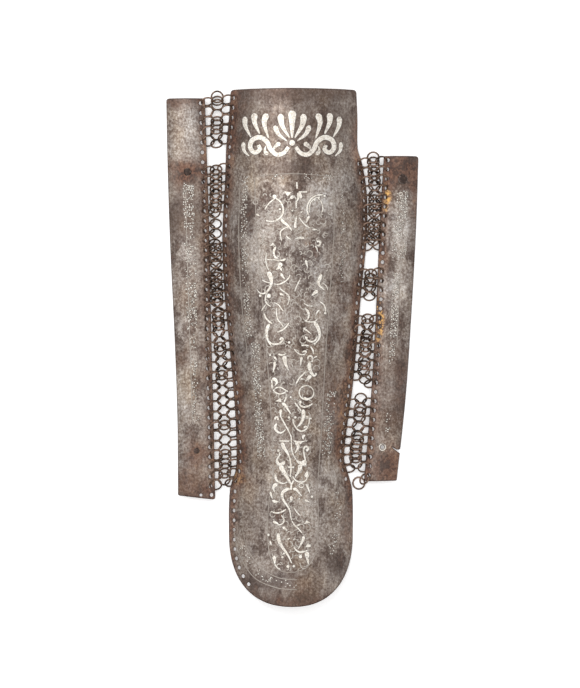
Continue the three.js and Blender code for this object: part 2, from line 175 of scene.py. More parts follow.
# Rows with a second linking ring, where the mail is tangled
DOUBLED_ROWS = {
    "long_mail_top": (0, 2, 3),
    "long_mail_main": (7, 8, 9, 10, 11, 15, 16, 18, 19, 20, 22, 23, 25, 28, 33, 36, 37, 38),
    "short_mail_top": (0, 1, 2, 4, 5, 7, 8),
    "short_mail_upper": (12, 13),
    "short_mail_middle": (17, 19, 20, 22),
    "short_mail_lower": (27, 30, 31, 32),
}
LOST_SHIN_RINGS = {"long_mail_main": (12, 13, 14), "short_mail_middle": (24,)}

# Patches of the old surface: the middle and the two radii. tone lightens or darkens the steel, rust reddens
# it, cool turns it blue-grey, and the last column paints a yellow glint on its rust: the rust is real, the glint is a
# painted highlight.
SHIN_TONES = (
    ("x", "y", "across", "down", "tone", "rust", "cool", "gilt"),
    (0, 209, 60, 9, -1, 0.15, 0, 0),
    (-46, 200, 12, 18, -0.7, 0.3, 0, 0),
    (40, 190, 18, 20, -0.3, 0, 0, 0),
    (-2, 145, 26, 7, -0.9, 0, 0.5, 0),
    (0, 184, 56, 22, -0.75, 0, 0, 0),
    (-28, 126, 13, 17, 0.35, 0, -0.4, 0),
    (-33, 110, 7, 7, -1.1, 0, 0.3, 0),
    (23, 118, 17, 14, 0.95, 0, 0.9, 0),
    (27, 92, 9, 10, -0.8, 0, 0.9, 0),
    (-2, 92, 20, 24, 0.35, 0, 0.3, 0),
    (11, 62, 22, 24, 0.1, 0, 0.5, 0),
    (-28, 74, 12, 18, 0.15, 0, -0.3, 0),
    (-22, 40, 10, 20, -0.25, 0, 0.4, 0),
    (6, 20, 18, 20, 0.1, 0, 0.3, 0),
    (-6, -40, 24, 46, -0.1, 0, 0.1, 0),
    (30, -38, 8, 18, -0.45, 0.1, 0, 0),
    (6, -108, 30, 20, 0.25, 0, 0, 0),
    (34, -108, 10, 16, 0.4, 0, 0, 0),
    (-34, -112, 8, 12, 0.2, 0.25, -0.4, 0),
    (-16, -130, 14, 12, -0.15, 0, 0.1, 0),
    (-30, -150, 14, 18, -0.05, 0, 0.2, 0),
    (35, -178, 7, 10, -0.8, 0, 0.8, 0),
    (-22, -190, 17, 8, -0.6, 0, 0.9, 0),
    (-2, -186, 12, 8, -0.3, 0, 0.6, 0),
    (10, -195, 14, 9, -0.2, 0.2, -0.3, 0),
    (0, -208, 40, 8, -0.9, 0.35, 0, 0),
    (45, -140, 8, 24, -0.3, 0.35, 0, 0),
    (-50, -104, 6, 8, 0.2, 0.9, -0.6, 0.12),
    (-42, -105, 4, 6, 0.3, 0.6, -0.8, 0.22),
    (12, 84, 4, 2, 0.1, 0.6, -1, 0),
    (42, 20, 9, 60, 0.25, 0.2, 0, 0),
    (34, -60, 9, 34, -0.2, 0.5, 0, 0),
    (44, -62, 7, 38, 0.05, 0.9, -0.8, 0.1),
    (0, -196, 60, 26, -0.35, 0, 0, 0),
    (-40, -70, 9, 30, -0.1, 0.4, 0, 0),
)
LONG_TONES = (
    ("x", "y", "across", "down", "tone", "rust", "cool", "gilt"),
    (-88, 202, 24, 7, -1, 0.45, 0, 0),
    (-92, 176, 7, 19, -0.1, 0, -0.3, 0),
    (-88, 143, 14, 12, -1, 0.75, 0, 0),
    (-88, 106, 16, 28, -1.2, 0, -0.2, 0),
    (-88, 80, 8, 18, 0.6, 0, 0.1, 0),
    (-92, 40, 9, 12, 0, 0.1, -0.2, 0),
    (-84, 18, 8, 12, 0.5, 0, -0.2, 0),
    (-91, -8, 7, 8, -0.6, 0.3, 0, 0),
    (-84, -30, 9, 18, 0.55, 0, -0.5, 0),
    (-87, -64, 8, 14, 0.2, 0, -0.2, 0),
    (-85.7, 143.1, 7, 7, -0.2, 0.5, 0, 0),
    (-78, -86, 10, 10, -1, 0.7, 0, 0),
    (-84, -112, 14, 16, -0.9, 0.45, 0, 0),
)
SHORT_TONES = (
    ("x", "y", "across", "down", "tone", "rust", "cool", "gilt"),
    (90, 146, 22, 16, -1.5, 0.75, 0, 0),
    (101, 118, 5, 22, -0.4, 0.5, 0, 0),
    (78, 121, 2.4, 10, 0.4, 0.9, 0, 1.3),
    (71.9, 22, 2.4, 20, 0.4, 0.85, 0, 1.1),
    (88, 84, 7, 34, 0.7, 0, 0.3, 0),
    (86, 50, 6, 14, 0.6, 0, 0.2, 0),
    (86, 14, 6, 14, 0, 0, 0.3, 0),
    (84, -42, 16, 40, -0.55, 0.15, 0.3, 0),
    (90, -30, 6, 30, -0.8, 0.2, 0.3, 0),
    (97.5, 60, 5, 62, -0.5, 0, 0.8, 0),
    (79.5, 60, 3, 50, -0.3, 0, 0.5, 0),
    (77, -80, 7, 7, 0.6, 0.3, 0, 0),
    (84, -100, 20, 18, -1.3, 0.8, 0, 0),
)


def through(rows, value):
    """A smooth curve through one column of a table, over its first column."""
    place = rows[0].index(value)
    x = [row[0] for row in rows[1:]]
    y = [row[place] for row in rows[1:]]
    last = len(x) - 1
    slope = []
    for i in range(last + 1):
        before, after = max(i - 1, 0), min(i + 1, last)
        slope.append((y[after] - y[before]) / (x[after] - x[before]))

    def curve(at):
        at = min(max(at, x[0]), x[last])
        i = 0
        while i < last - 1 and at > x[i + 1]:
            i += 1
        span = x[i + 1] - x[i]
        s = (at - x[i]) / span
        ease = s * s * (3 - 2 * s)
        leave = s * (1 - s) ** 2 * span * slope[i]
        arrive = s * s * (s - 1) * span * slope[i + 1]
        return y[i] + (y[i + 1] - y[i]) * ease + leave + arrive

    return curve


class Sheet:
    """A curved steel sheet: the height of its underside over the ground, and its wall."""

    def __init__(self, wall, seed, dent):
        self.wall = wall
        self.seed = seed
        self.dent = dent

    def form(self, x, y):
        raise NotImplementedError

    def height(self, x, y):
        """The underside with its slight hammered waves, which only sink it."""
        wave = noise.noise(Vector((x * 0.045, y * 0.03, self.seed)))
        fine = noise.noise(Vector((x * 0.14, y * 0.1, self.seed + 9)))
        return self.form(x, y) - self.dent * (1 + 0.7 * wave + 0.3 * fine)

    def normal(self, x, y):
        reach = 0.4
        along_x = (self.height(x + reach, y) - self.height(x - reach, y)) / (2 * reach)
        along_y = (self.height(x, y + reach) - self.height(x, y - reach)) / (2 * reach)
        return Vector((-along_x, -along_y, 1)).normalized()

    def at(self, x, y, share):
        """The point at a share of the wall, 0 at the underside and 1 at the top skin."""
        return Vector((x, y, self.height(x, y))) + self.normal(x, y) * (self.wall * share)

    def seen_at(self, x, y, above):
        """A point over the top skin where it is seen from straight above at x, y, and the normal."""
        lean = self.normal(x, y)
        under_x, under_y = x - lean.x * self.wall, y - lean.y * self.wall
        lean = self.normal(under_x, under_y)
        foot = Vector((under_x, under_y, self.height(under_x, under_y)))
        return foot + lean * (self.wall + above), lean


class ShinSheet(Sheet):
    def __init__(self):
        super().__init__(SHIN_WALL, 3.0, 0.16)
        self.top = SHIN_LENGTH / 2
        self.left = through(SHIN_SECTIONS, "left")
        self.right = through(SHIN_SECTIONS, "right")
        self.rise = through(SHIN_SECTIONS, "rise")
        self.lift = through(SHIN_SECTIONS, "lift")
        self.round_from = 1 - TONGUE_ROUND / SHIN_LENGTH

    def along(self, y):
        return (self.top - y) / SHIN_LENGTH

    def half(self, side, along):
        return (self.left if side < 0 else self.right)(along) * SHIN_WIDTH / 2

    def tongue(self, along):
        into = max(0.0, (along - self.round_from) / (1 - self.round_from))
        return max(0.0, 1 - into**TONGUE_POWER) ** (1 / TONGUE_POWER)

    def edge(self, side, y):
        along = self.along(y)
        return side * self.half(side, along) * self.tongue(along)

    def form(self, x, y):
        along = self.along(y)
        half = self.half(x, along)
        rise = self.rise(along) * SHIN_RISE
        radius = (half * half + rise * rise) / (2 * rise)
        out = min(abs(x), half * 1.02)
        arch = math.sqrt(radius * radius - out * out) - (radius - rise)
        keel = KEEL_RISE * max(0.0, 1 - abs(x) / KEEL_REACH) ** 1.5
        return self.lift(along) * SHIN_EDGE_LIFT + arch + keel

    def outline(self, step):
        """The closed outline, seen from above and against the clock."""
        count = int(SHIN_LENGTH * self.round_from / step)
        shares = [self.round_from * i / count for i in range(count)]
        turns = [math.pi / 2 * i / 40 for i in range(40)]
        shares += [
            self.round_from + (1 - self.round_from) * math.sin(t) ** (2 / TONGUE_POWER) for t in turns
        ]
        ys = [self.top - share * SHIN_LENGTH for share in shares]
        left = [(self.edge(-1, y), y) for y in ys]
        right = [(self.edge(1, y), y) for y in reversed(ys)]
        width = right[-1][0] - left[0][0]
        rim = int(width / step)
        top = [(right[-1][0] - width * i / rim, self.top) for i in range(1, rim)]
        return rounded(left + [(0.0, -self.top)] + right + top, ((left[0], 2.2), (right[-1], 2.2)))


class SideSheet(Sheet):
    def __init__(self, side, length, width, drop, slant, span, sections, seed):
        super().__init__(SIDE_WALL, seed, 0.08)
        self.side, self.length, self.width, self.slant = side, length, width, slant
        self.top = SHIN_LENGTH / 2 - drop
        self.inner = through(sections, "inner")
        self.outer = through(sections, "outer")
        self.camber = through(SIDE_CAMBER, "rise")
        self.narrowest = (0.968 if side < 0 else 1.033) * SHIN_WIDTH / 2 + span

    def along(self, y):
        return (self.top - y) / self.length

    def edge(self, y):
        return self.side * (self.narrowest + self.inner(self.along(y)) * self.width)

    def outer_edge(self, y):
        return self.side * (self.narrowest + self.outer(self.along(y)) * self.width)

    def across(self, x, y):
        return (x - self.outer_edge(y)) / (self.edge(y) - self.outer_edge(y))

    def form(self, x, y):
        across = min(max(self.across(x, y), 0.0), 1.0)
        return self.camber(across) * SIDE_RISE + across * SIDE_EDGE_LIFT

    def foot(self, across):
        return self.top - self.length + self.slant * (1 - across)

    def place(self, share, drop):
        y = self.top - drop
        return self.outer_edge(y) + (self.edge(y) - self.outer_edge(y)) * share, y

    def outline(self, step):
        count = int(self.length / step)
        outer_foot, inner_foot = self.foot(0.0), self.foot(1.0)

        def side_run(edge, foot):
            return [(edge(y), y) for y in (self.top + (foot - self.top) * i / count for i in range(count + 1))]

        outer, inner = side_run(self.outer_edge, outer_foot), side_run(self.edge, inner_foot)
        end = int(self.width / step)

        def between(a, b):
            return [(a[0] + (b[0] - a[0]) * i / end, a[1] + (b[1] - a[1]) * i / end) for i in range(1, end)]

        loop = outer + between(outer[-1], inner[-1]) + inner[::-1] + between(inner[0], outer[0])
        corners = ((outer[0], CORNER_ROUND), (inner[0], 1.0), (outer[-1], 1.2), (inner[-1], 2.6))
        if self.side > 0:
            loop.reverse()
        return rounded(loop, corners)


def rounded(loop, corners):
    """The loop with its named corners taken round."""
    ring = np.array(loop)
    for corner, radius in corners:
        away = np.linalg.norm(ring - np.array(corner), axis=1)
        i = int(np.argmin(away))
        n = len(ring)
        before, after = i, i
        while np.linalg.norm(ring[before % n] - ring[i]) < radius:
            before -= 1
        while np.linalg.norm(ring[after % n] - ring[i]) < radius:
            after += 1
        a, b, c = ring[before % n], ring[i], ring[after % n]
        arc = [(1 - t) ** 2 * a + 2 * t * (1 - t) * b + t * t * c for t in (0.0, 0.25, 0.5, 0.75, 1.0)]
        kept = [ring[k % n] for k in range(after + 1, before + n)]
        ring = np.array(kept + arc)
    return [tuple(p) for p in ring]


def cracked(sheet):
    """The side plate's outline, with the crack in its outer edge near the foot."""
    outline = sheet.outline(OUTLINE_STEP)
    y = sheet.top - (sheet.length - 26)
    edge = sheet.outer_edge(y)
    ring = [p for p in outline if not (p[0] > edge - 3 and -3.4 < p[1] - y < 1.6)]
    i = max(range(len(ring)), key=lambda k: math.dist(ring[k], ring[(k + 1) % len(ring)]))
    cut = ((-1.4, -2.5), (-3.4, -0.9), (-5.4, 0.5), (-7.0, 2.3), (-5.0, 1.2), (-3.0, 0.0), (-1.4, -0.2))
    lips = [(edge + 0.1, -3.2), *((edge + a, b) for a, b in cut), (edge - 0.05, 0.55)]
    return ring[: i + 1] + [(a, y + b) for a, b in lips] + ring[i + 1 :]


SHIN = ShinSheet()
LONG = SideSheet(-1, 327.0, 30.6, 7.0, 3.6, 11.2, LONG_SECTIONS, 21.0)
SHORT = SideSheet(1, 265.0, 27.0, 54.0, 0.6, 9.6, SHORT_SECTIONS, 47.0)


def in_from_edge(sheet, edge, y, toward):
    lean = sheet.normal(edge + toward * HOLE_INSET / 2, y)
    return (edge + toward * HOLE_INSET * lean.z, y)


def mail_rows(sheet, first, pitch, skew):
    """Each row of mail: the middle of its hole in the side plate and of its hole in the shin plate."""
    rows = []
    for row in range(int((sheet.length - first - HOLE_INSET) / pitch) + 1):
        y = sheet.top - first - row * pitch
        shin_y = y + skew
        side_hole = in_from_edge(sheet, sheet.edge(y), y, sheet.side)
        rows.append((side_hole, in_from_edge(SHIN, SHIN.edge(sheet.side, shin_y), shin_y, -sheet.side)))
    return rows


LONG_ROWS = mail_rows(LONG, 4.0, LONG_PITCH, 4.3)
SHORT_ROWS = mail_rows(SHORT, 3.4, SHORT_PITCH, -3.0)

# The strap rivets: name, sheet, share of the width and drop from the top, width and height of the head
RIVETS = (
    ("long_plate_upper_rivet", LONG, (0.5, 60), 6.2, 1.3),
    ("long_plate_lower_rivet", LONG, (0.52, 287), 4.8, 1.0),
    ("short_plate_upper_rivet", SHORT, (0.43, 19), 8.0, 1.3),
)
LOST_RIVET = SHORT.place(0.54, SHORT.length - 28)


def tongue_holes():
    """The empty holes that go on round the left of the tongue."""
    holes = []
    y = LONG_ROWS[-1][1][1] - LONG_PITCH
    while SHIN.tongue(SHIN.along(y)) > 0.72:
        bend = (SHIN.edge(-1, y + 1) - SHIN.edge(-1, y - 1)) / 2
        away = Vector((1, bend)).normalized() * HOLE_INSET
        holes.append((SHIN.edge(-1, y) + away.x, y - away.y))
        y -= LONG_PITCH / math.hypot(1, bend)
    return holes


def hole_ring(sheet, hole, radius, grow=0.0, sides=16):
    """A hole's edge seen from above, where the sheet leans."""
    lean = sheet.normal(*hole)
    reach = radius + grow
    along = math.cos(math.asin(min(1.0, abs(lean.y))))
    turns = [math.tau * i / sides for i in range(sides)]
    return [(hole[0] + reach * lean.z * math.cos(t), hole[1] + reach * along * math.sin(t)) for t in turns]


def inside(loop, points):
    """Which of the points lie inside the loop."""
    ring = np.asarray(loop)
    a, b = ring, np.roll(ring, -1, axis=0)
    crossings = np.zeros(len(points), dtype=int)
    for (ax, ay), (bx, by) in zip(a, b):
        if ay == by:
            continue
        straddles = (ay > points[:, 1]) != (by > points[:, 1])
        at = ax + (points[:, 1] - ay) * (bx - ax) / (by - ay)
        crossings += straddles & (points[:, 0] < at)
    return crossings % 2 == 1


def nearest(points, places):
    """Each point's distance from the nearest of the places."""
    best = np.full(len(points), 1e9)
    for start in range(0, len(places), 200):
        gap = points[:, None, :] - places[None, start : start + 200, :]
        best = np.minimum(best, np.sqrt((gap**2).sum(2)).min(1))
    return best


def build_piece(name, points, faces, finish, measures=None, angle=42.0):
    """A mesh object of points in millimetres, at the origin, that rides on the frame."""
    mesh = bpy.data.meshes.new(name)
    mesh.from_pydata([(Vector(p) + FRAME_SHIFT) * MM for p in points], [], faces)
    mesh.validate()
    for label, values in (measures or {}).items():
        layer = mesh.attributes.new(label, "FLOAT", "POINT")
        layer.data.foreach_set("value", np.asarray(values, dtype=np.float32))
    mesh.materials.append(finish)
    mesh.shade_smooth()
    mesh.set_sharp_from_angle(angle=math.radians(angle))
    mesh.update()
    piece = bpy.data.objects.new(name, mesh)
    bpy.context.scene.collection.objects.link(piece)
    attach(piece, "root")
    return piece


def flat_skin(sheet, outline, holes, spacing):
    """A plate's skin laid flat: its points, and its triangles with the holes left out."""
    points, bonds = [], []

    def add_loop(ring, closed=True):
        start, count = len(points), len(ring)
        points.extend(ring)
        if closed:
            bonds.extend((start + i, start + (i + 1) % count) for i in range(count))

    add_loop(outline)
    ring = np.array(outline)
    before, after = np.roll(ring, 1, axis=0), np.roll(ring, -1, axis=0)
    ahead = after - before
    ahead /= np.linalg.norm(ahead, axis=1)[:, None]
    inward = np.stack([-ahead[:, 1], ahead[:, 0]], axis=1)
    for inset in (0.35, EDGE_ROUND):
        candidates = ring + inward * inset
        clear = nearest(candidates, ring) > inset * 0.8
        add_loop([tuple(p) for p in candidates[clear]], closed=False)
    for x, y, radius in holes:
        add_loop(hole_ring(sheet, (x, y), radius))
        add_loop(hole_ring(sheet, (x, y), radius, 0.35), closed=False)
        add_loop(hole_ring(sheet, (x, y), radius, 0.9, 12), closed=False)
    low, high = ring.min(0), ring.max(0)
    grid = []
    rows = int((high[1] - low[1]) / spacing)
    for r in range(rows):
        y = low[1] + (r + 0.5) * spacing
        shift = spacing / 2 if r % 2 else 0.0
        columns = int((high[0] - low[0]) / spacing) + 1
        grid += [(low[0] + c * spacing + shift, y) for c in range(columns)]
    grid = np.array(grid)
    middles = np.array([(x, y) for x, y, _ in holes])
    keep = inside(outline, grid) & (nearest(grid, ring) > EDGE_CLEAR) & (nearest(grid, middles) > HOLE_CLEAR)
    add_loop([tuple(p) for p in grid[keep]], closed=False)

    flat, _, triangles, *_ = delaunay_2d_cdt([Vector(p) for p in points], bonds, [], 0, 1e-5)
    flat = np.array([tuple(p) for p in flat])
    triangles = np.array([t for t in triangles if len(t) == 3])
    centres = flat[triangles].mean(1)
    solid = inside(outline, centres)
    for x, y, radius in holes:
        near = np.where(np.abs(centres - (x, y)).max(1) < radius * 1.5)[0]
        if len(near):
            solid[near] &= ~inside(hole_ring(sheet, (x, y), radius), centres[near])
    triangles = triangles[solid]
    a, b, c = (flat[triangles[:, k]] for k in range(3))
    turn = np.cross(b - a, c - a)
    triangles = np.where(turn[:, None] < 0, triangles[:, ::-1], triangles)
    used, triangles = np.unique(triangles, return_inverse=True)
    return flat[used], triangles.reshape(-1, 3)


def plate_piece(name, node, sheet, outline, holes, strip_of, tones, finish, spacing):
    """A plate with a top skin, an underside, its holes and rounded edges.

    holes are (x, y, radius). strip_of gives how far a point is from the edge that carries mail.
    """
    flat, triangles = flat_skin(sheet, outline, holes, spacing)
    edge = nearest(flat, np.array(outline))
    rims = np.array([p for x, y, radius in holes for p in hole_ring(sheet, (x, y), radius)])
    hole = nearest(flat, rims)
    strip = np.array([strip_of(x, y) for x, y in flat])
    skins = [[], []]
    for (x, y), d in zip(flat, np.minimum(edge, hole)):
        x, y = float(x), float(y)
        into = min(1.0, d / EDGE_ROUND)
        full = 0.5 + 0.5 * math.sqrt(1 - (1 - into) ** 2)
        foot = Vector((x, y, sheet.height(x, y)))
        lean = sheet.normal(x, y)
        skins[0].append(foot + lean * (sheet.wall * (0.5 + 0.5 * full)))
        skins[1].append(foot + lean * (sheet.wall * (0.5 - 0.5 * full)))
    count = len(flat)
    faces = [tuple(int(i) for i in t) for t in triangles]
    sides = {}
    for a, b, c in faces:
        sides.update(dict.fromkeys(((a, b), (b, c), (c, a))))
    walls = [(b, a, a + count, b + count) for a, b in sides if (b, a) not in sides]
    under = [(c + count, b + count, a + count) for a, b, c in faces]
    measures = {"edge_mm": edge, "hole_mm": hole, "strip_mm": strip}
    warps = [noise.noise_vector(Vector((x * 0.11, y * 0.11, sheet.seed))) for x, y in flat]
    warped = flat + np.array([tuple(warp.xy) for warp in warps]) * 4.5
    for k, label in enumerate(tones[0][4:], 4):
        measures[label] = sum(
            row[k] * np.exp(-((((warped - row[:2]) / row[2:4]) ** 2).sum(1) ** 1.7)) for row in tones[1:]
        )
    measures = {label: np.concatenate([values, values]) for label, values in measures.items()}
    piece = build_piece(name, skins[0] + skins[1], faces + under + walls, finish, measures)
    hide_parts(node)


def add_ring(points, faces, centre, across, beside, radius, wire):
    """A closed wire ring in the plane of across and beside."""
    across, beside = across.normalized(), beside.normalized()
    up = across.cross(beside).normalized()
    start = len(points)
    for i in range(RING_SIDES):
        turn = math.tau * i / RING_SIDES
        out = across * math.cos(turn) + beside * math.sin(turn)
        for k in range(WIRE_SIDES):
            tilt = math.tau * k / WIRE_SIDES
            points.append(centre + out * (radius + wire / 2 * math.cos(tilt)) + up * (wire / 2 * math.sin(tilt)))
    for i in range(RING_SIDES):
        this, after = (start + j % RING_SIDES * WIRE_SIDES for j in (i, i + 1))
        for k in range(WIRE_SIDES):
            m = (k + 1) % WIRE_SIDES
            faces.append((this + k, after + k, after + m, this + m))


def over_ground(centre, across, beside, radius, wire):
    """A ring's middle, raised where its wire would be in the ground."""
    low = centre.z - radius * math.hypot(across.z, beside.z) - wire / 2 - GROUND_GAP
    return centre - Vector((0, 0, min(low, 0.0)))


def ring_lines(centres, across, beside, radius, count=28):
    """Middle lines of rings, as an array of rings, points and coordinates."""
    turns = np.linspace(0, math.tau, count, endpoint=False)[:, None]
    return centres[:, None] + radius * (np.cos(turns) * across[:, None] + np.sin(turns) * beside[:, None])


def threads(lines, centres, normals, radius):
    """How often each line goes through the disc of its ring."""
    ahead = np.roll(lines, -1, axis=1)
    a = ((lines - centres[:, None]) * normals[:, None]).sum(2)
    b = ((ahead - centres[:, None]) * normals[:, None]).sum(2)
    crossing = a * b < 0
    share = np.where(crossing, a / np.where(crossing, a - b, 1), 0)[..., None]
    hit = lines + (ahead - lines) * share
    return (crossing & (np.linalg.norm(hit - centres[:, None], axis=2) < radius)).sum(1)


def settled(middle, across, beside_at, angle, holders, others, radius):
    """Where a linking ring holds its holders and clears every wire best: its middle, its lean and its clearance.

    holders and others are rings as (centre, across, beside).
    """
    shifts = product((-0.7, 0, 0.7), (-1.0, -0.5, 0, 0.5, 1.0), (-1.2, -0.6, 0, 0.6, 1.2))
    tries = [(Vector(shift), angle + turn) for shift in shifts for turn in (-0.35, -0.17, 0, 0.17, 0.35)]
    centres = np.array([tuple(middle + shift) for shift, _ in tries])
    besides = np.array([tuple(beside_at(turn)) for _, turn in tries])
    acrosses = np.repeat([tuple(across)], len(tries), axis=0)
    lines = ring_lines(centres, acrosses, besides, radius)
    normals = np.cross(acrosses, besides)
    worth = np.full(len(tries), 9.0)
    for k, ring in enumerate(holders + others):
        centre, out, aside = (np.array([tuple(v)]) for v in ring)
        line = ring_lines(centre, out, aside, radius)
        gap = np.linalg.norm(lines[:, :, None] - line[:, None], axis=3).min((1, 2))
        both = np.repeat(line, len(tries), axis=0)
        through_try = threads(both, centres, normals, radius)
        middles, facing = (np.repeat(v, len(tries), axis=0) for v in (centre, np.cross(out, aside)))
        through_ring = threads(lines, middles, facing, radius)
        wanted = 1 if k < len(holders) else 0
        held = (through_try == wanted) & (through_ring == wanted)
        worth = np.minimum(worth, np.where(held, gap, -1.0))
        if k < len(holders):
            worth -= ~held * 2.0
    away = np.linalg.norm(centres - np.array(tuple(middle)), axis=1)
    best = int(np.argmax(np.minimum(worth, 1.5) - 0.02 * away))
    return Vector(centres[best]), Vector(besides[best]), float(worth[best])


def mail_piece(name, sheet, rows, first, last, ends, lost, finish, sizes):
    """A patch of mail three rings across: rings through both plates' holes, and linking rings between."""
    dice = random.Random(name)
    wire = sizes.wire_diameter / MM
    radius = sizes.ring_diameter / MM / 2 - wire / 2
    lean, link_lean = sizes.hole_ring_lean, sizes.link_ring_lean
    points, faces = [], []

    def lean_of(across):
        """The direction beside a line across, at an angle over the ground."""
        level = Vector((-across.y, across.x, 0)).normalized()
        level = level if level.y > 0 else -level
        up = across.cross(level)
        up = up if up.z > 0 else -up
        return lambda angle: level * math.cos(angle) + up * math.sin(angle)

    def place(centre, across, angle):
        """Adds a ring, turned by angle about its line across, and keeps it over the ground."""
        across = Matrix.Rotation(dice.uniform(-0.1, 0.1), 3, "Z") @ across.normalized()
        beside = lean_of(across)(angle + dice.uniform(-0.2, 0.2))
        oval = dice.uniform(0.0, 0.06)
        ring = (over_ground(centre, across, beside, radius, wire), across * (1 + oval), beside * (1 - oval))
        add_ring(points, faces, *ring, radius, wire)
        return ring

    def link(centre, across, beside):
        """Adds a linking ring, over the ground."""
        line.append((over_ground(centre, across, beside, radius, wire), across, beside))
        add_ring(points, faces, *line[-1], radius, wire)

    def middles(row):
        """The middles of a row's two hole rings, which swing part of the way to one line."""
        a, c = (s.at(*hole, 0.5) for s, hole in zip((sheet, SHIN), rows[row]))
        bed = max((a.z + c.z) / 2, radius * math.sin(lean) + wire / 2)
        swing = (c.y - a.y) * 0.3
        drawn = (abs(c.x - a.x) - 2 * LINK_STEP) / 2
        drawn = min(max(drawn, radius - 0.85), radius + 0.85)
        found = []
        for end, way, y in ((a, -sheet.side, swing), (c, sheet.side, -swing)):
            z = (bed - end.z) * 0.6
            found.append(end + Vector((way * math.sqrt(max(drawn**2 - y**2 - z**2, 1.0)), y, z)))
        return a, c, found

    held = []
    for row in range(first, last + 1):
        a, c, (near, far) = middles(row)
        held.append([place(near, near - a, lean)])
        if row not in lost:
            held[-1].append(place(far, c - far, lean))
    line = []
    spans = list(zip(held, held[1:]))
    if "top" in ends:
        spans.insert(0, (held[0], []))
    if "foot" in ends:
        spans.append((held[-1], []))
    for k, (this, after) in enumerate(spans):
        holders = this + after
        middle = sum((ring[0] for ring in holders), Vector()) / len(holders)
        if not after:
            middle.y += END_RING_REACH if k == 0 else -END_RING_REACH
        if len(this) == len(after) == 1:
            middle.x -= sheet.side * LINK_STEP
        across = Vector((1, 0, 0))
        if len(this) == 2:
            across = (this[1][0] - this[0][0]).normalized() * -sheet.side
        jog = Vector((dice.uniform(-0.3, 0.3), dice.uniform(-0.3, 0.3), 0))
        turn = -link_lean + dice.uniform(-0.12, 0.12)
        found = settled(middle + jog, across, lean_of(across), turn, holders, line[-1:], radius)
        for more in (0.5, -0.5, 1.0):
            if found[2] > ENOUGH_CLEARANCE:
                break
            other = settled(middle, across, lean_of(across), turn + more, holders, line[-1:], radius)
            found = max(found, other, key=lambda place: place[2])
        link(found[0], across, found[1])
        if len(this) == 2 and after and first + k - ("top" in ends) in DOUBLED_ROWS[name]:
            middle = (this[0][0] + this[1][0]) / 2 + Vector((0, dice.uniform(-0.8, 0.8), 0))
            leans = (-0.9, -0.3, 0.3, 0.9)
            tries = [settled(middle, across, lean_of(across), lean, this, line[-2:], radius) for lean in leans]
            centre, beside, clear = max(tries, key=lambda place: place[2])
            if clear > SECOND_CLEARANCE:
                link(centre, across, beside)
    piece = build_piece(name + "_rings", points, faces, finish, angle=80)
    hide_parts(name)


def loose_rings(finish, sizes):
    """The end ring in the short plate's last hole, and a loose ring linked to it."""
    radius, wire = sizes.ring_diameter / MM / 2, sizes.wire_diameter / MM
    radius -= wire / 2
    points, faces = [], []
    hole = SHORT.at(*SHORT_ROWS[-1][0], 0.5)
    out = Vector((-0.74, -0.6, -0.28)).normalized()
    beside = Vector((0.6, -0.74, 0)).normalized()
    up = out.cross(beside).normalized()
    up = up if up.z > 0 else -up
    centre = hole + out * radius
    centre.z = max(centre.z, radius * 0.95)
    add_ring(points, faces, centre, out, beside * math.cos(0.85) + up * math.sin(0.85), radius, wire)
    rest = Vector((centre.x - 4.6, centre.y - 3.6, wire / 2 + 0.9))
    add_ring(points, faces, rest, Vector((1, 0.2, 0.12)), Vector((-0.2, 1, -0.06)), radius * 1.03, wire)
    build_piece("loose_rings", points, faces, finish, angle=80)


def rivet_piece(name, sheet, place, head, dome, finish):
    """A rivet with a worn domed head and a peened tail."""
    half, shank, steps, sides = sheet.wall / 2, 1.4, 8, 28
    tail = ((0.0, 0.9), (shank * 0.9, 0.88), (shank * 1.5, 0.45), (shank * 1.7, 0.05), (shank, 0.02))
    profile = [(r, -half - below) for r, below in tail] + [(shank, half)]
    for i in range(steps + 1):
        turn = math.pi / 2 * i / steps
        profile.append((head / 2 * math.cos(turn), half + dome * (0.12 + 0.88 * math.sin(turn))))
    profile[-1] = (0.0, half + dome)
    lean = sheet.normal(*place)
    middle = sheet.at(*place, 0.5)
    turn = Vector((0, 0, 1)).rotation_difference(lean).to_matrix()
    points, faces, rings, marks = [], [], [], {"rim": [], "groove": []}
    for i, (r, z) in enumerate(profile):
        count = 1 if r == 0.0 else sides
        # rim marks the head's shoulder for a painted highlight; groove marks the tail, the shank and the head's foot
        # for painted shade.
        marks["rim"] += [1.0 if i in (7, 8) else 0.5 if i == 9 else 0.15] * count
        marks["groove"] += [0.9 if i <= 6 else 0.0] * count
        rings.append(list(range(len(points), len(points) + count)))
        for k in range(count):
            t = math.tau * k / sides
            points.append(middle + turn @ Vector((r * math.cos(t), r * math.sin(t), z)))
    for lower, upper in zip(rings, rings[1:]):
        for k in range(sides):
            m = (k + 1) % sides
            if len(lower) == 1:
                faces.append((lower[0], upper[m], upper[k]))
            elif len(upper) == 1:
                faces.append((lower[k], lower[m], upper[0]))
            else:
                faces.append((lower[k], lower[m], upper[m], upper[k]))
    piece = build_piece(name + "_head", points, faces, finish, marks, angle=35)
    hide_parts(name)


def stroke_list(*rows):
    """Rows of a kind, a width and flat numbers, as strokes: the kind, the width and the points."""
    return [(kind, widest, tuple(zip(flat[::2], flat[1::2]))) for kind, widest, *flat in rows]


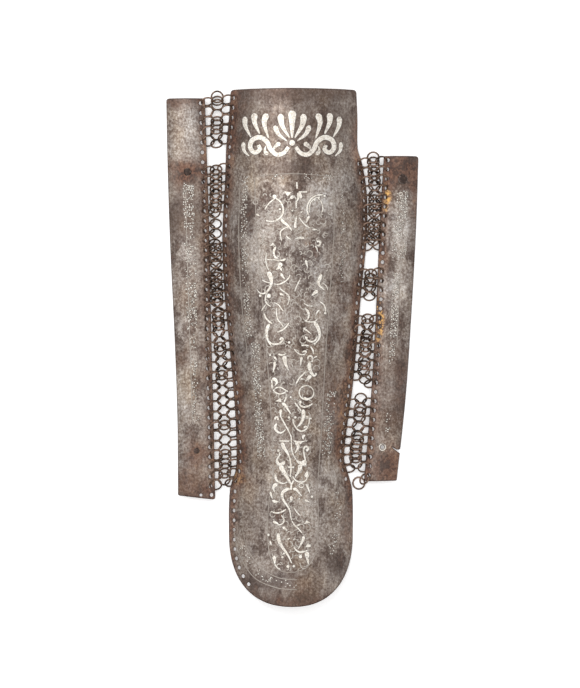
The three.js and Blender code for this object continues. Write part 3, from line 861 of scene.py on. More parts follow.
# Silver strokes of the long panel, from the middle of the shin plate: kind, width, then x and y of each
# point. A leaf starts at its broad end, a blade is a filled shape with corners, and a ring holds its
# middle and its two radii.
PANEL_STROKES = stroke_list(
    # The knot between the two upper circles
    ("blade", 0, -6.2, 126.1, -3.4, 121.8, -1.2, 125, 1, 126.2), ("leaf", 2.8, -1.4, 120.4, 1.2, 121.9, 3.2, 120.2),
    ("leaf", 3, 7.4, 120.6, 5.4, 124.8, 5, 120.6, 3.6, 118), ("blade", 0, 5, 126.2, 12.2, 126.4, 12, 125.2, 6, 125.2),
    ("stem", 1, 3.5, 118.6, 3.2, 115.4, 3.4, 112.6), ("stem", 1.2, 3.8, 133.6, 4, 128.2),
    ("stem", 1.3, -13, 120.6, -9.3, 117.5, -7.2, 112, -8.2, 106.6, -12.2, 103, -17, 101.9, -21, 102.6),
    ("stem", 0.9, -14, 120.2, -17.4, 117.8, -19.8, 115.2, -22, 111.6), ("dot", 3.3, -14.2, 121.9),
    ("dot", 1.6, -9.8, 111.8), ("dot", 1.4, 0.1, 110.4), ("leaf", 1.7, 6.6, 109, 8.6, 109.8),
    ("leaf", 2, -29.2, 108.6, -26.4, 106.4), ("leaf", 2.5, -9, 104.2, -7.2, 101.6, -4, 99, -1.5, 96.4, -0.3, 94.4),
    ("leaf", 2.5, 2.4, 96.6, 2.6, 100, 3.6, 106.4), ("stem", 1, 5.8, 105, 8, 101.8, 11, 98.6, 14, 96.8),
    ("stem", 0.9, -2.6, 97.6, -6, 96.4, -9.4, 93.6, -9.2, 89, -8.4, 86.5),
    ("leaf", 1.2, -4.8, 90.2, -2.8, 88.2, -0.8, 87.2), ("leaf", 2.2, 9.8, 88.3, 6, 88.9, 2.4, 87.7),
    ("blade", 0, -18.4, 82.2, -13.2, 82.2, -15.6, 84.4),
    ("leaf", 1.9, -13, 81.6, -14.8, 78, -14.4, 74.4, -12.2, 72.8, -10.6, 74.2),
    ("stem", 1.3, 20, 85.4, 21.8, 86, 22.8, 84.2, 21.6, 82.4, 20.2, 82.8), ("leaf", 1.5, 16.4, 95.4, 20.4, 95.5),
    ("leaf", 1.3, 18.6, 82.2, 20, 80.2, 20.6, 77.4),
    ("stem", 1.2, 24.8, 123.6, 19.6, 123, 15.4, 120.2, 12.6, 115.6, 12, 111, 13.2, 107),
    ("stem", 0.7, 22.4, 121.4, 18.8, 120.8, 15.2, 117.6, 13.9, 113, 13.8, 109.2),
    ("stem", 0.9, 20.4, 121.6, 23.4, 118, 24.8, 113, 24.6, 109.6), ("dot", 1.8, 26.2, 122.6),
    ("dot", 1.6, 18.3, 119.4), ("leaf", 2.2, 13.8, 106.2, 12.2, 103.4, 11.6, 100.8),
    # The first pair of scrolls
    ("stem", 0.8, -20.8, 76.6, -21.2, 71, -20.6, 66.4, -18.8, 62.4),
    ("leaf", 4, -19.2, 61.4, -17.8, 58, -16.8, 54.4, -17, 50.6, -18.2, 48),
    ("leaf", 1.7, -17.2, 50.4, -18.8, 47, -21, 44.8, -23.8, 43.6, -26.6, 44.6, -28.6, 47.4),
    ("stem", 0.8, -24.2, 54.8, -21, 53, -17.6, 52.2),
    ("stem", 1.1, -14.4, 51.4, -11, 51, -7, 52.6, -3.4, 55.4, -1.6, 58.4),
    ("stem", 0.8, -20.2, 71.2, -15, 71, -10.6, 70.4), ("leaf", 1.7, -14.4, 73, -11.4, 71.8),
    ("leaf", 1.9, -5.2, 71.8, -7.8, 70.4, -10.4, 70.8), ("leaf", 3.8, -8.6, 68.4, -9.8, 66.6, -10.8, 64.6, -12.8, 63),
    ("leaf", 1.9, -9.4, 64.4, -8.4, 61.8), ("leaf", 2.2, -9.2, 60, -7.6, 57.4, -5.6, 55.2),
    ("leaf", 2.2, 11, 70.6, 11.6, 68, 12.6, 64.6), ("leaf", 3, 23.6, 59.4, 22.4, 56, 21.3, 52.2, 23, 49.2, 26, 46.8),
    ("leaf", 3.3, 20.8, 46, 18.4, 44.4, 15.8, 42), ("stem", 0.8, 7, 56.4, 5.4, 53, 3.4, 49, 2.2, 45.4),
    ("dot", 3.4, -18.8, 41.8), ("stem", 1, -20.8, 44, -21.6, 40, -21.2, 36.6, -19.4, 34.6, -17.2, 33.2),
    ("dot", 1.9, -25.8, 42), ("leaf", 2.2, -9.9, 43.8, -6.8, 42.2),
    ("stem", 0.9, -10, 47.8, -6.4, 45, -3, 42.4, -2.4, 39, -3.6, 34.6),
    ("stem", 0.9, -21.4, 34.8, -23, 32.6, -24.8, 29.8), ("stem", 1.3, -22.6, 27.4, -21, 23.6, -18.4, 21, -16.2, 19.4),
    ("stem", 1, -14.8, 36.5, -11, 34.6, -8.8, 31.6, -7.2, 29.6),
    ("stem", 1, -12.4, 32, -12.6, 27, -11.4, 22.4, -9, 19.6, -7.2, 17),
    ("leaf", 2.7, -18.4, 19.2, -20.2, 15.4, -20.6, 10.4, -19.4, 5.4, -16.4, 0.8),
    ("stem", 1.2, -12, 12.4, -8.6, 13.8, -5, 16.6, -2.8, 19.8),
    ("leaf", 2, 10.8, 31.6, 13, 28.6, 13.4, 25.4, 12.2, 22.6, 9.8, 21.4),
    ("stem", 0.9, 10.2, 21.6, 14, 20.8, 18, 21, 20.6, 23.2),
    ("stem", 1.1, 22.6, 37.2, 25.8, 34.6, 27, 31, 26.8, 29.2), ("dot", 2, 26.8, 28),
    ("leaf", 1.4, 22.2, 30.6, 20.2, 28.6, 19, 25.6),
    ("leaf", 3.2, 17.8, 20.8, 20.4, 17, 22, 12.6, 21.9, 7.6, 18.4, 3), ("leaf", 1.7, 8.8, 15.8, 12, 13.8, 15.6, 11),
    ("stem", 0.8, 9.6, 35.8, 13, 33.8, 16.4, 33.6), ("stem", 0.7, 24.8, 52, 27.6, 50, 28.8, 46.6),
    # The second pair of scrolls
    ("stem", 1.2, -19.8, 6.4, -16.8, 3.4, -12, 2.8, -9, 4.4, -7.2, 7.2, -9.4, 8.2), ("dot", 1.7, -9.4, 6.8),
    ("dot", 1.8, -2.4, 4.2), ("leaf", 1.5, -11.4, -5.2, -8, -6, -4.4, -4.6),
    ("leaf", 3.6, -6.2, -6.6, -6, -10, -4.8, -14.4, -2.8, -18.4),
    ("leaf", 2.2, -14, -11.2, -14.3, -15.2, -15.5, -20.2), ("leaf", 1.9, -14.8, -7.2, -12.2, -10.2),
    ("dot", 1.6, -17.8, -6), ("stem", 1.3, 10.6, 9.2, 12, 6.4, 15.4, 4.8, 18.4, 5.6, 20.6, 9),
    ("dot", 1.6, 18.2, 3.2), ("dot", 1.9, 11.6, 7.8), ("stem", 1, 7.6, 1.6, 10.4, 2, 13.4, 1.6),
    ("stem", 1.2, 15, 0.8, 16.8, -2, 17.3, -5), ("leaf", 2, 11.9, -3.8, 9.8, -2.9, 8, -3.9),
    ("stem", 0.9, 1.8, -1.2, 4.6, -4.4, 8, -5.8, 11.2, -4.8), ("leaf", 2.3, 7.7, -7.4, 7.2, -10.6, 6.8, -14.6),
    ("stem", 1.4, 12.6, -9.6, 13.2, -7.2, 15.4, -6.8, 16.6, -9, 16, -11.4), ("leaf", 1.2, 20.2, -6.8, 17.4, -8.4),
    ("leaf", 3.2, 14.2, -11.8, 14, -16, 15.6, -20.4, 18, -22.8, 19.6, -21.4), ("dot", 1.9, 19.2, -21.4),
    ("stem", 1.2, 10.8, -19.4, 8.4, -22, 5.6, -24.8, 4.4, -27, 3.2, -29),
    ("leaf", 3.3, 15.4, -22.6, 12.8, -25, 10.8, -27), ("leaf", 1.7, 6.6, -25, 9.2, -25.6),
    ("leaf", 3, -16.2, -25.2, -13.4, -26, -12.4, -28.4, -14, -30.8), ("stem", 1.1, -16.5, -26, -16.2, -33),
    ("stem", 0.9, -15.4, -34.6, -12.6, -32.4, -9, -32.2, -5.4, -34.4, -3.2, -35.4),
    ("stem", 0.9, -15.4, -34.6, -12, -37, -8.6, -37.4, -4.8, -35.5), ("ring", 1, 11.6, -36.4, 5.9, 5.7),
    ("leaf", 2.7, 9.6, -40.2, 10.8, -41.5, 13.2, -41.6, 15.8, -40),
    ("stem", 1.2, 7.4, -43, 6.4, -46.2, 9, -48, 13, -47.4, 16.4, -45.4), ("dot", 2.1, 6.7, -44),
    ("blade", 0, -13.6, -43.4, -8.6, -44, -9.4, -40.9), ("leaf", 1.4, -6.6, -44, -5, -41, -4.8, -37.2),
    ("dot", 1.5, -1.2, -40), ("leaf", 2.6, -8.2, -44.8, -5.6, -46.6, -3.4, -50, -1, -53.6),
    ("stem", 1.1, 2.2, -44.6, 5, -48, 7.2, -51),
    # The third pair, down to the cross bar
    ("leaf", 2.3, -8.9, -50, -9.4, -53, -9.2, -56.6),
    ("stem", 1, -9.2, -56, -7, -60, -5, -63.6, -2.8, -67.6, -0.8, -72), ("dot", 1.8, -2.6, -56.4),
    ("dot", 1.9, 2.6, -56.4), ("stem", 1.5, -11.4, -58.8, -11.6, -56.8, -13.4, -56.4, -14, -58.2),
    ("leaf", 2.3, -12.6, -61.2, -13.8, -64.6, -13, -67, -10, -69, -7, -68, -5.2, -65.8),
    ("leaf", 3.2, 8.8, -50, 9.2, -54, 8.6, -58, 6.4, -62, 4, -64.4), ("leaf", 1.6, 13.2, -56.4, 10.6, -55.2),
    ("stem", 1.1, 15.8, -57.6, 14.4, -57.2, 13.8, -60, 13, -63.4, 11.2, -66, 8.2, -67.6, 5.2, -66.8, 2.8, -64.2, 1,
        -60.6, 0.8, -57.6),
    ("leaf", 1.7, 9.4, -64.8, 11, -63.8, 13, -63.6), ("leaf", 2.4, 10.4, -70.8, 8.6, -72.2, 9.2, -74.2),
    ("blade", 0, -10.2, -75.1, -10.2, -76, -2.4, -76.2, -2.4, -75.1),
    ("blade", 0, 0.9, -75, 2.4, -76.6, 7, -78, 8.4, -76.4, 12.9, -75),
    # Below the bar: the crossed leaves
    ("leaf", 3.2, 3.2, -76.2, 4.6, -79, 4.6, -81.4, 2.2, -85.4),
    ("leaf", 3.3, -7.8, -76.6, -7.4, -79.6, -5.4, -82.6, -3.4, -86, -1.8, -90),
    ("stem", 0.9, -0.8, -72, -0.6, -78, -0.4, -82, 0.8, -86.4, 3.2, -90.6),
    ("stem", 1.3, -1.9, -89, -1.2, -94, -1, -98, -1.4, -104.6),
    ("stem", 1.5, 9.2, -83.4, 9.8, -80.8, 11.6, -80, 13.2, -81.6, 12.4, -83.6), ("dot", 2.2, 12.1, -82.9),
    ("stem", 1.1, 9.2, -83, 9.8, -87, 10.8, -91.4),
    ("blade", 0, 3, -90.8, 4.6, -93.4, 7.6, -95.4, 11, -95.4, 11.8, -92.4, 10.4, -90.4, 7.4, -92.2),
    ("leaf", 3.7, 6.2, -94.6, 6.4, -97.4, 5.2, -100.6, 3, -103.6), ("leaf", 1.9, 3.6, -102.4, 2.4, -105.4),
    ("dot", 2.3, -11, -83.4), ("leaf", 1.2, -10.4, -87.6, -10, -84.2),
    ("leaf", 2.9, -6.2, -91.6, -7.6, -94, -10.6, -94.4, -12.2, -91.8, -11.2, -88.6, -9.4, -86.2),
    ("leaf", 4, -9.4, -95.2, -8, -98.4, -5.6, -102.4, -2.8, -107, -0.4, -111.4), ("dot", 1.8, -2.4, -96.8),
    ("dot", 1.8, 0.9, -96.8), ("leaf", 1.9, -13.6, -102.6, -13, -106.4, -10.8, -108.8, -7, -110, -3.6, -108.6),
    ("stem", 1.1, 0.4, -104.2, 2.4, -107, 6, -108.8, 9.8, -108.4, 12.2, -106),
    ("blade", 0, 9.6, -103.4, 12.2, -106, 13.4, -104, 12.4, -99.4), ("stem", 1.2, 1.2, -107.4, -0.6, -111.4),
    ("ring", 0.8, 7.4, -111.6, 1.9, 1.7),
    # The heart and the lower leaves
    ("leaf", 3.2, -11.8, -110.8, -14.2, -111.6, -15.2, -114, -14.2, -117.2),
    ("leaf", 2.3, 12, -110.4, 12.8, -113.2, 14.4, -118), ("stem", 1.2, -0.7, -110.6, -0.8, -115),
    ("leaf", 2.7, -1.4, -114.4, -4.6, -114.9, -7.6, -117.2, -8.2, -120.6, -6.8, -124, -4.4, -127.4, -2, -131.8,
        -0.6, -139.8),
    ("leaf", 2.5, 0.6, -114.2, 3.4, -114.9, 5.4, -117.4, 7.8, -120.2), ("dot", 1.4, 5.8, -122.4),
    ("leaf", 2.7, -0.6, -120.2, -1, -125), ("leaf", 2.7, -16, -123.8, -13.4, -124.9, -11, -124.6),
    ("leaf", 1.9, -17.8, -116.8, -16.9, -119.6, -16, -122.4),
    ("stem", 1.1, -17.2, -133, -13, -134, -8.6, -133.2, -5, -131), ("leaf", 2.2, 10.2, -123.4, 14.2, -125.2),
    ("dot", 2, 16, -120.8), ("stem", 0.8, 1.6, -129.6, 3.6, -133, 6.4, -136),
    ("stem", 0.9, -8.6, -136, -6.6, -139.2, -7.6, -142.4, -11.4, -144),
    ("leaf", 2.1, -15.6, -141.2, -12.4, -142.2, -10.6, -143.8),
    ("stem", 1, -0.2, -140.4, 2.4, -144.4, 5.4, -147, 8, -150.2), ("leaf", 1.7, 4.2, -144.2, 7, -142.8),
    ("blade", 0, 9.4, -142.8, 14.8, -142, 11.8, -140), ("leaf", 2.4, -7.6, -145.2, -4, -148.2),
    ("leaf", 3, -11, -150.4, -11, -154.4, -9.8, -158.6, -7.6, -162.2, -4.8, -166, -2.4, -170, -0.4, -174.6),
    ("leaf", 2.4, 9.4, -152.6, 8.8, -156, 7, -159.4, 5, -163),
    ("stem", 1.2, 1.4, -161.6, 3.4, -164.2, 6, -165.6, 9.4, -165.4, 12.4, -164.4),
    ("blade", 0, 10.8, -161.8, 14.9, -161.6, 15, -159.6, 12, -159.4),
    ("leaf", 3.9, 11.8, -165.6, 12.4, -169.8, 13.2, -175.6), ("dot", 2.6, 6.8, -169.4), ("dot", 1.8, -7.8, -169.8),
    ("dot", 1.4, -6.6, -166.8), ("dot", 2.4, -3.4, -177.3), ("dot", 1.9, 1.4, -177), ("dot", 1.8, -19.2, -151.8),
    ("leaf", 3.1, -14.6, -168.8, -14, -175.2), ("leaf", 1.6, -17.9, -156.8, -16.8, -160.4),
    ("stem", 1, -14, -175.6, -12.2, -178.2, -9.8, -179.4), ("leaf", 1.3, -4.2, -155.6, -1.6, -154.2),
    ("leaf", 1.2, 0.6, -155.6, 2.6, -154.8),
)

# Half of the bold scrollwork near the knee end, which is mirrored
HEAD_STROKES = stroke_list(
    ("leaf", 6.8, 0, 191.5, 0, 183, 0, 169.4), ("leaf", 5.4, 9.4, 188.8, 8.2, 180, 2.2, 169.6),
    ("leaf", 4.2, 14.2, 179.6, 11, 172.6, 4.2, 167), ("dot", 4.6, 0, 165.4),
    ("stem", 3.7, 3, 162, 6.6, 157.4, 12.2, 156, 17.2, 160, 20.4, 166.4, 26, 170.2, 32.2, 168.2, 34, 162.2, 30.4,
        158, 26.2, 160.2, 27.4, 164),
    ("leaf", 5.2, 20.6, 189.4, 22.6, 181.6, 19.2, 169.6), ("leaf", 5.2, 30.4, 190, 30.4, 182.6, 26.4, 173.2),
    ("leaf", 4.4, 38.4, 187.4, 37.8, 179.6, 33.4, 170.6), ("leaf", 3.8, 9.6, 165.4, 13.2, 163, 15.4, 159.6),
    ("leaf", 3.4, 39.6, 166.6, 39, 160, 34.8, 155.2), ("leaf", 3.2, 19.4, 156.2, 22, 158.8, 21.4, 163),
)


def middle_line(marks, count):
    """Points along a smooth curve through the marks."""
    knots = [Vector((x, y, 0)) for x, y in marks]
    if len(knots) == 2:
        return [knots[0].lerp(knots[1], i / count) for i in range(count + 1)]
    padded = [knots[0] * 2 - knots[1]] + knots + [knots[-1] * 2 - knots[-2]]
    line = []
    spans = len(knots) - 1
    for i in range(count + 1):
        at = min(i / count * spans, spans - 1e-6)
        k, t = int(at), at % 1
        a, b, c, d = padded[k : k + 4]
        line.append(
            (b * 2 + (c - a) * t + (a * 2 - b * 5 + c * 4 - d) * t**2 + (b * 3 - a - c * 3 + d) * t**3) / 2
        )
    return line


def add_island(points, faces, grooves, middle, loops):
    """A filled shape: a fan round its middle point, and a strip from each loop to the next."""
    start, sides = len(points), len(loops[0][0])
    points.append(middle)
    grooves.append(0.0)
    for loop, groove in loops:
        points.extend(loop)
        grooves.extend([groove] * sides)
    for k in range(sides):
        m = (k + 1) % sides
        faces.append((start, start + 1 + k, start + 1 + m))
        for ring in range(len(loops) - 1):
            a = start + 1 + ring * sides
            faces.append((a + k, a + sides + k, a + sides + m, a + m))


def add_stroke(points, faces, grooves, sheet, kind, widest, marks, proud):
    """One inlaid stroke, draped over the sheet's top skin, with a dark groove round it."""

    def seen(x, y, above):
        return sheet.seen_at(x, y, above)[0]

    if kind == "blade":
        corners = [Vector((x, y, 0)) for x, y in marks]
        middle = sum(corners, Vector()) / len(corners)
        loops = []
        rims = ((-0.2, proud, 0.0), (0.0, proud * 0.8, 0.1), (0.25, GROOVE_LIP, 1.0), (0.65, GROOVE_FOOT, 1.0))
        for out, above, groove in rims:
            spots = [corner + (corner - middle).normalized() * out for corner in corners]
            loops.append(([seen(spot.x, spot.y, above) for spot in spots], groove))
        return add_island(points, faces, grooves, seen(middle.x, middle.y, proud), loops)
    if kind == "dot":
        (x, y), reach = marks[0], widest / 2
        turns = [math.tau * k / 10 for k in range(10)]
        rims = (
            (reach * 0.8, proud, 0.0),
            (reach, proud * 0.8, 0.2),
            (reach + 0.22, GROOVE_LIP, 1.0),
            (reach + 0.6, GROOVE_FOOT, 1.0),
        )
        loops = []
        for r, above, groove in rims:
            loops.append(([seen(x + r * math.cos(t), y + r * math.sin(t), above) for t in turns], groove))
        return add_island(points, faces, grooves, seen(x, y, proud * 1.2), loops)
    if kind == "ring":
        (x, y), (rx, ry) = marks
        count = 26
        turns = [0.9 + math.tau * i / count for i in range(count + 1)]
        line = [Vector((x + rx * math.cos(t), y + ry * math.sin(t), 0)) for t in turns]
    else:
        length = sum((Vector(b) - Vector(a)).length for a, b in zip(marks, marks[1:]))
        count = max(4, int(length / 1.1))
        line = middle_line(marks, count)
    start = len(points)
    for i, at in enumerate(line):
        share = i / count
        if kind == "leaf":
            width = widest * (min(1.0, (share / 0.16 + 0.06)) ** 0.6 * (1 - share) ** 0.8 * 0.95 + 0.14)
        else:
            width = widest * (0.75 + 0.25 * math.sin(math.pi * share))
        ahead = line[min(i + 1, count)] - line[max(i - 1, 0)]
        aside = Vector((-ahead.y, ahead.x, 0)).normalized()
        half, margin = width / 2, 0.26 + 0.1 * min(widest, 3.0)
        profile = (
            (half + margin, GROOVE_FOOT, 1.0),
            (half + margin * 0.4, GROOVE_LIP, 1.0),
            (half, proud * 0.8, 0.1),
            (half * 0.7, proud, 0.0),
        )
        crossing = [(-away, above, groove) for away, above, groove in profile]
        crossing += [(0.0, proud * 1.05, 0.0), *profile[::-1]]
        for away, above, groove in crossing:
            spot = at + aside * away
            points.append(seen(spot.x, spot.y, above))
            grooves.append(groove)
    across = len(crossing)
    for i in range(count):
        for k in range(across - 1):
            a = start + i * across + k
            faces.append((a, a + across, a + across + 1, a + 1))


def fine_band(path, width, kept, dice):
    """A band of tiny leaves and dots, scattered like worn fine inlay. kept is the share that is left."""
    length = sum(math.dist(a, b) for a, b in zip(path, path[1:]))
    steps, lanes = int(length / 1.35), max(2, round(width / 1.4))
    line = middle_line(path, steps)
    strokes = []
    for a, b in zip(line, line[1:]):
        along = (b - a).normalized()
        aside = Vector((-along.y, along.x, 0))
        for lane in range(lanes):
            out = ((lane + 0.5) / lanes - 0.5) * width + dice.uniform(-0.5, 0.5)
            at = a + aside * out + along * dice.uniform(-0.6, 0.6)
            if dice.random() > kept * (0.75 + 0.9 * noise.noise(at * 0.12)):
                continue
            turn = dice.uniform(0, math.tau)
            tip = Vector((math.cos(turn), math.sin(turn), 0)) * dice.uniform(0.3, 0.55)
            if dice.random() < 0.55:
                strokes.append(("dot", dice.uniform(0.45, 0.95), (tuple(at.xy),)))
            else:
                strokes.append(("leaf", dice.uniform(0.6, 1.0), (tuple((at - tip).xy), tuple((at + tip).xy))))
    return strokes


def engraved_curls(dice):
    """Thin curls that fill the long panel between its silver strokes."""
    strokes = []
    for y in np.arange(-178, 124, 4.6):
        half = np.interp(y, (-180, -150, -60, 0, 60, 124), (12, 16, 15, 20, 27, 29))
        for x in np.arange(1.5 - half, 1.5 + half, 5.2):
            middle = Vector((x + dice.uniform(-2, 2), y + dice.uniform(-2, 2), 0))
            start, sweep, reach = dice.uniform(0, math.tau), dice.uniform(1.4, 4.4), dice.uniform(1.0, 3.6)
            sweep *= dice.choice((-1, 1))
            turns = [(start + sweep * k / 5, reach * (1 - 0.1 * k)) for k in range(6)]
            marks = tuple((middle.x + r * math.cos(t), middle.y + r * math.sin(t)) for t, r in turns)
            strokes.append(("stem", dice.uniform(0.3, 0.6), marks))
    return strokes


# Bands of fine inlay: sheet, path, width, share of the marks that are left
FINE_BANDS = (
    (SHIN, ((-38.4, 138), (-39.0, 100), (-37.6, 50), (-35, 8)), 5.0, 0.6),
    (SHIN, ((-30, 6), (-28, -40), (-25, -89)), 6.4, 0.75),
    (SHIN, ((41, 128), (41.4, 88), (39, 42)), 3.6, 0.4),
    (SHIN, ((32, -36), (30, -60), (27.6, -90)), 7.4, 0.6),
    (SHIN, ((-16, 138.4), (-2, 138.8)), 4.2, 0.3),
    (SHIN, ((10, 138.8), (36, 137)), 4.6, 0.45),
    (SHIN, ((-44, -152), (-38, -170), (-27, -183), (-12, -190), (4, -192)), 6.0, 0.35),
    (SHIN, ((38, -118), (36, -150), (30, -168)), 5.0, 0.3),
    (LONG, ((-84.4, 133), (-84.2, 112), (-83.6, 88)), 9.0, 0.7),
    (LONG, ((-83.4, 86), (-82.8, 56)), 10.0, 0.4),
    (LONG, ((-82.2, 53), (-81.4, 14)), 9.0, 0.65),
    (LONG, ((-81.0, 10), (-79.6, -20), (-78.2, -62)), 5.0, 0.4),
    (SHORT, ((90, 127), (89, 104)), 9.0, 0.85),
    (SHORT, ((88, 103), (87, 72)), 12.0, 0.5),
    (SHORT, ((84.6, 60), (83.6, 30), (82.4, 8)), 6.0, 1.0),
    (SHORT, ((82, 4), (80.8, -16)), 4.4, 0.5),
    (SHORT, ((78.6, -54), (77.6, -70)), 4.0, 0.6),
)

# Fine frame lines: sheet, width, path
FRAME_LINES = (
    (SHIN, 0.34, ((-30.4, 136), (-28.6, 90), (-23.4, 30), (-19.4, -20), (-16.2, -70), (-15.2, -102))),
    (SHIN, 0.34, ((33.4, 136), (33.8, 90), (29.6, 30), (26.6, -14), (23.6, -70), (20.6, -112))),
    (SHIN, 0.32, ((-15.2, -102), (-19.4, -132), (-19.4, -160), (-15.8, -174), (-8.8, -181), (1.8, -182))),
    (SHIN, 0.32, ((1.8, -182), (12.4, -177.4), (19.8, -164), (21.2, -140), (20.6, -112))),
    (SHIN, 0.2, ((-28.8, 138.6), (-12, 140), (0, 140.4), (14, 140), (32, 138.4))),
    (SHIN, 0.3, ((-42.4, 134), (-43.4, 90), (-41.2, 40), (-36, -10))),
    (SHIN, 0.3, ((-47.6, -148), (-43, -168), (-31, -186.4), (-13, -194.4), (4, -196))),
    (SHIN, 0.3, ((-40.4, -148), (-36, -164), (-25, -178.6), (-11, -186.4), (4, -188))),
    (LONG, 0.3, ((-86.6, 128), (-85.6, 80), (-84.0, 30), (-82.4, -20), (-81, -62))),
    (SHORT, 0.3, ((90.4, 124), (89.6, 90), (87.6, 50), (85.2, 0))),
)


def silver_piece(name, sheet, strokes, finish, proud):
    """The strokes of one kind of inlay, as one object."""
    points, faces, grooves = [], [], []
    for kind, widest, marks in strokes:
        add_stroke(points, faces, grooves, sheet, kind, widest, marks, proud)
    build_piece(name, points, faces, finish, {"groove": grooves}, angle=70)


def feed(tree, socket, value):
    """Sets a socket's value, or links it."""
    if isinstance(value, Field):
        tree.links.new(value.socket, socket)
    else:
        socket.default_value = value


class Field:
    """What varies over a surface: a socket whose arithmetic adds Math nodes."""

    def __init__(self, tree, socket):
        self.tree = tree
        self.socket = socket

    def math(self, operation, *terms, clamp=False):
        node = self.tree.nodes.new("ShaderNodeMath")
        node.operation = operation
        node.use_clamp = clamp
        for socket, term in zip(node.inputs, terms):
            feed(self.tree, socket, term)
        return Field(self.tree, node.outputs[0])

    def __add__(self, other):
        return self.math("ADD", self, other)

    __radd__ = __add__

    def __sub__(self, other):
        return self.math("SUBTRACT", self, other)

    def __rsub__(self, other):
        return self.math("SUBTRACT", other, self)

    def __mul__(self, other):
        return self.math("MULTIPLY", self, other)

    __rmul__ = __mul__

    def clamped(self):
        return self.math("ADD", self, 0.0, clamp=True)


class Finish:
    """A surface finish made of nodes on one shader."""

    def __init__(self, name, metallic, roughness):
        self.material = bpy.data.materials.new(name)
        self.material.use_nodes = True
        self.tree = self.material.node_tree
        self.shader = self.tree.nodes["Principled BSDF"]
        self.shader.inputs["Metallic"].default_value = metallic
        self.shader.inputs["Roughness"].default_value = roughness
        self.spot = self.node("ShaderNodeTexCoord", output="Object")

    def node(self, kind, settings=None, inputs=None, output=0):
        made = self.tree.nodes.new(kind)
        for name, value in (settings or {}).items():
            if name == "stops":
                ramp = made.color_ramp
                while len(ramp.elements) < len(value):
                    ramp.elements.new(1.0)
                for element, (place, colour) in zip(ramp.elements, value):
                    element.position = place
                    element.color = colour
            else:
                setattr(made, name, value)
        for name, value in (inputs or {}).items():
            feed(self.tree, made.inputs[name], value)
        return Field(self.tree, made.outputs[output])

    def noise(self, size, detail=3.0, roughness=0.55, stretch=(1, 1, 1), seed=0.0):
        """Noise with features about size millimetres wide."""
        scale = tuple(s * 1000.0 / size for s in stretch)
        placed = self.node(
            "ShaderNodeVectorMath",
            {"operation": "MULTIPLY_ADD"},
            {0: self.spot, 1: scale, 2: (seed, seed * 1.7, seed * 0.6)},
        )
        return self.node(
            "ShaderNodeTexNoise",
            {"noise_dimensions": "3D"},
            {"Vector": placed, "Scale": 1.0, "Detail": detail, "Roughness": roughness},
        )

    def between(self, value, low, high):
        """0 below low, 1 above high, smooth between."""
        return self.node(
            "ShaderNodeMapRange",
            {"interpolation_type": "SMOOTHSTEP"},
            {"Value": value, "From Min": low, "From Max": high},
        )

    def measure(self, label):
        return self.node("ShaderNodeAttribute", {"attribute_name": label}, output="Fac")

    def mix(self, share, a, b, blend="MIX"):
        settings = {"data_type": "RGBA", "blend_type": blend}
        return self.node("ShaderNodeMix", settings, {0: share, 6: a, 7: b}, output=2)

    def ramp(self, value, stops):
        settings = {"stops": [(place, opaque(colour)) for place, colour in stops]}
        return self.node("ShaderNodeValToRGB", settings, {"Fac": value})

    def feed(self, **sockets):
        for name, value in sockets.items():
            feed(self.tree, self.shader.inputs[name.replace("_", " ")], value)

    def bump(self, height, distance, strength):
        normal = self.node(
            "ShaderNodeBump", None, {"Height": height, "Distance": distance, "Strength": strength}, "Normal"
        )
        feed(self.tree, self.shader.inputs["Normal"], normal)


def opaque(colour):
    return (*colour, 1.0)


